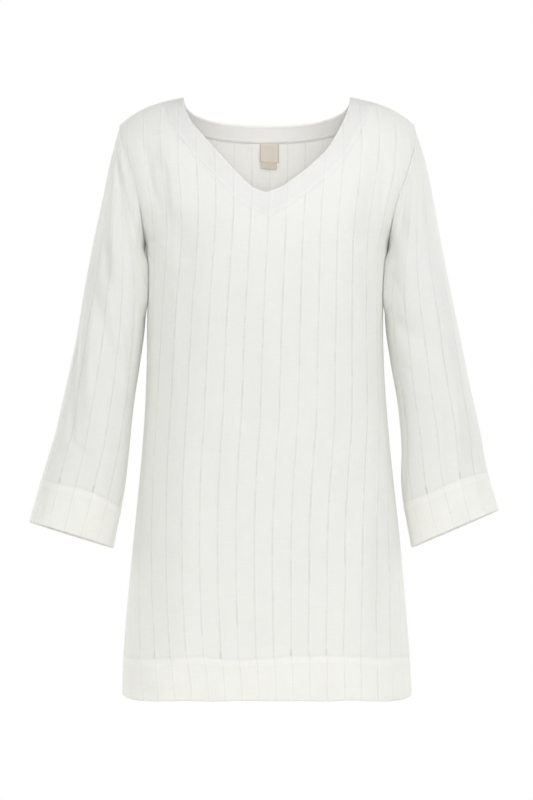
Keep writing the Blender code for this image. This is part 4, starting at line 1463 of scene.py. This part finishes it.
# Each lamp: name, place, what it points at, size, power, colour and, for a spot, its cone
studio = {
    "floorHeight": -1.42,
    "floorHalf": 2.1,
    "floorColour": (0.76, 0.76, 0.75),
    "floorRoughness": 0.9,
    "skyLight": 0.315,
    "skyColour": (1.0, 1.0, 1.0),
    "lamps": (
        ("levelLamp", (0.0, -3.8, -0.38), (0.0, 0.0, -0.40), 0.5, 30.0, (1.0, 1.0, 1.0)),
        ("highLeftLamp", (1.4, -2.1, 1.2), (0.0, 0.0, -0.20), 1.6, 32.0, (1.0, 1.0, 1.0)),
        ("highRightLamp", (-1.8, -3.0, 1.4), (0.0, 0.0, -0.35), 2.2, 32.0, (1.0, 0.99, 0.97)),
        ("sideLeftLamp", (3.0, -1.0, -0.5), (0.0, 0.0, -0.45), 1.6, 7.0, (1.0, 1.0, 1.0)),
        ("sideRightLamp", (-3.0, -1.0, -0.5), (0.0, 0.0, -0.45), 1.6, 10.0, (1.0, 1.0, 1.0)),
        ("backLamp", (0.0, 2.8, 0.4), (0.0, 0.0, -0.30), 2.2, 12.0, (1.0, 1.0, 1.0)),
        ("backLeftLamp", (2.2, 1.8, 0.2), (0.0, 0.0, -0.35), 1.8, 38.0, (1.0, 1.0, 0.97)),
        ("backRightLamp", (-2.2, 1.8, 0.2), (0.0, 0.0, -0.35), 1.8, 38.0, (1.0, 1.0, 0.96)),
        ("neckLamp", (0.0, -3.3, -0.20), (0.018, 0.05, -0.042), 0.12, 84.0, (1.0, 1.0, 1.0), 0.066),
    ),
}


def buildStudio(settings):
    # The world is plain white to the camera, and a dimmer white as a light.
    half, height = settings["floorHalf"], settings["floorHeight"]
    mesh = bpy.data.meshes.new("floor")
    corners = [(x * half, y * half, height) for x, y in ((-1, -1), (1, -1), (1, 1), (-1, 1))]
    mesh.from_pydata(corners, [], [(0, 1, 2, 3)])
    paint, _, shader = newMaterial("floorPaint")
    shader.inputs["Base Color"].default_value = (*settings["floorColour"], 1.0)
    shader.inputs["Roughness"].default_value = settings["floorRoughness"]
    mesh.materials.append(paint)
    floor = bpy.data.objects.new("floor", mesh)
    scene.collection.objects.link(floor)
    for name, place, target, size, power, colour, *cone in settings["lamps"]:
        lamp = bpy.data.lights.new(name, "SPOT" if cone else "AREA")
        lamp.energy, lamp.color = power, colour
        if cone:
            lamp.spot_size, lamp.spot_blend, lamp.shadow_soft_size = cone[0], 1.0, size
        else:
            lamp.shape, lamp.size = "DISK", size
        holder = bpy.data.objects.new(name, lamp)
        holder.location = place
        direction = np.array(target) - np.array(place)
        tilt = np.arctan2(np.hypot(direction[0], direction[1]), -direction[2])
        holder.rotation_euler = (tilt, 0, np.arctan2(-direction[0], direction[1]))
        scene.collection.objects.link(holder)
    world = bpy.data.worlds.new("studio")
    world.use_nodes = True
    tree = world.node_tree
    tree.nodes.clear()
    kinds = ("LightPath", "MixShader", "OutputWorld", "Background", "Background")
    rays, mix, output, lit, seen = (tree.nodes.new("ShaderNode" + kind) for kind in kinds)
    for node, strength in ((lit, settings["skyLight"]), (seen, 1.0)):
        node.inputs["Color"].default_value = (*settings["skyColour"], 1.0)
        node.inputs["Strength"].default_value = strength
    for socket, value in ((mix.inputs[0], rays.outputs["Is Camera Ray"]),
                          (mix.inputs[1], lit.outputs[0]), (mix.inputs[2], seen.outputs[0]),
                          (output.inputs["Surface"], mix.outputs[0])):
        tree.links.new(value, socket)
    scene.world = world
    scene.view_settings.view_transform = "Standard"
    scene.view_settings.look = "None"


buildStudio(studio)
print("floor and light placed")

# Which node each piece stands for, its slot, and its cut: width, length and area
standsFor = {
    "front": ("front", "linen_body", (0.580, 0.885), 0.388),
    "back": ("back", "linen_body", (0.574, 0.882), 0.396),
    "leftSleeve": ("sleeve_left", "linen_sleeves", (0.490, 0.575), 0.165),
    "rightSleeve": ("sleeve_right", "linen_sleeves", (0.490, 0.575), 0.165),
    "frontFacing": ("front_neck_facing", "linen_facing", (0.034, 0.50), 0.0150),
    "backFacing": ("back_neck_facing", "linen_facing", (0.030, 0.36), 0.0100),
    "label": ("neck_label", "label_tape", (0.0265, 0.0262), None),
    "tab": ("label_tab", "label_tape", (0.0218, 0.0102), None),
}
for key, (node, slot, flat, area) in standsFor.items():
    piece = made[key]
    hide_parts(node)
    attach(piece, "root")
print("pieces stand for the solids")
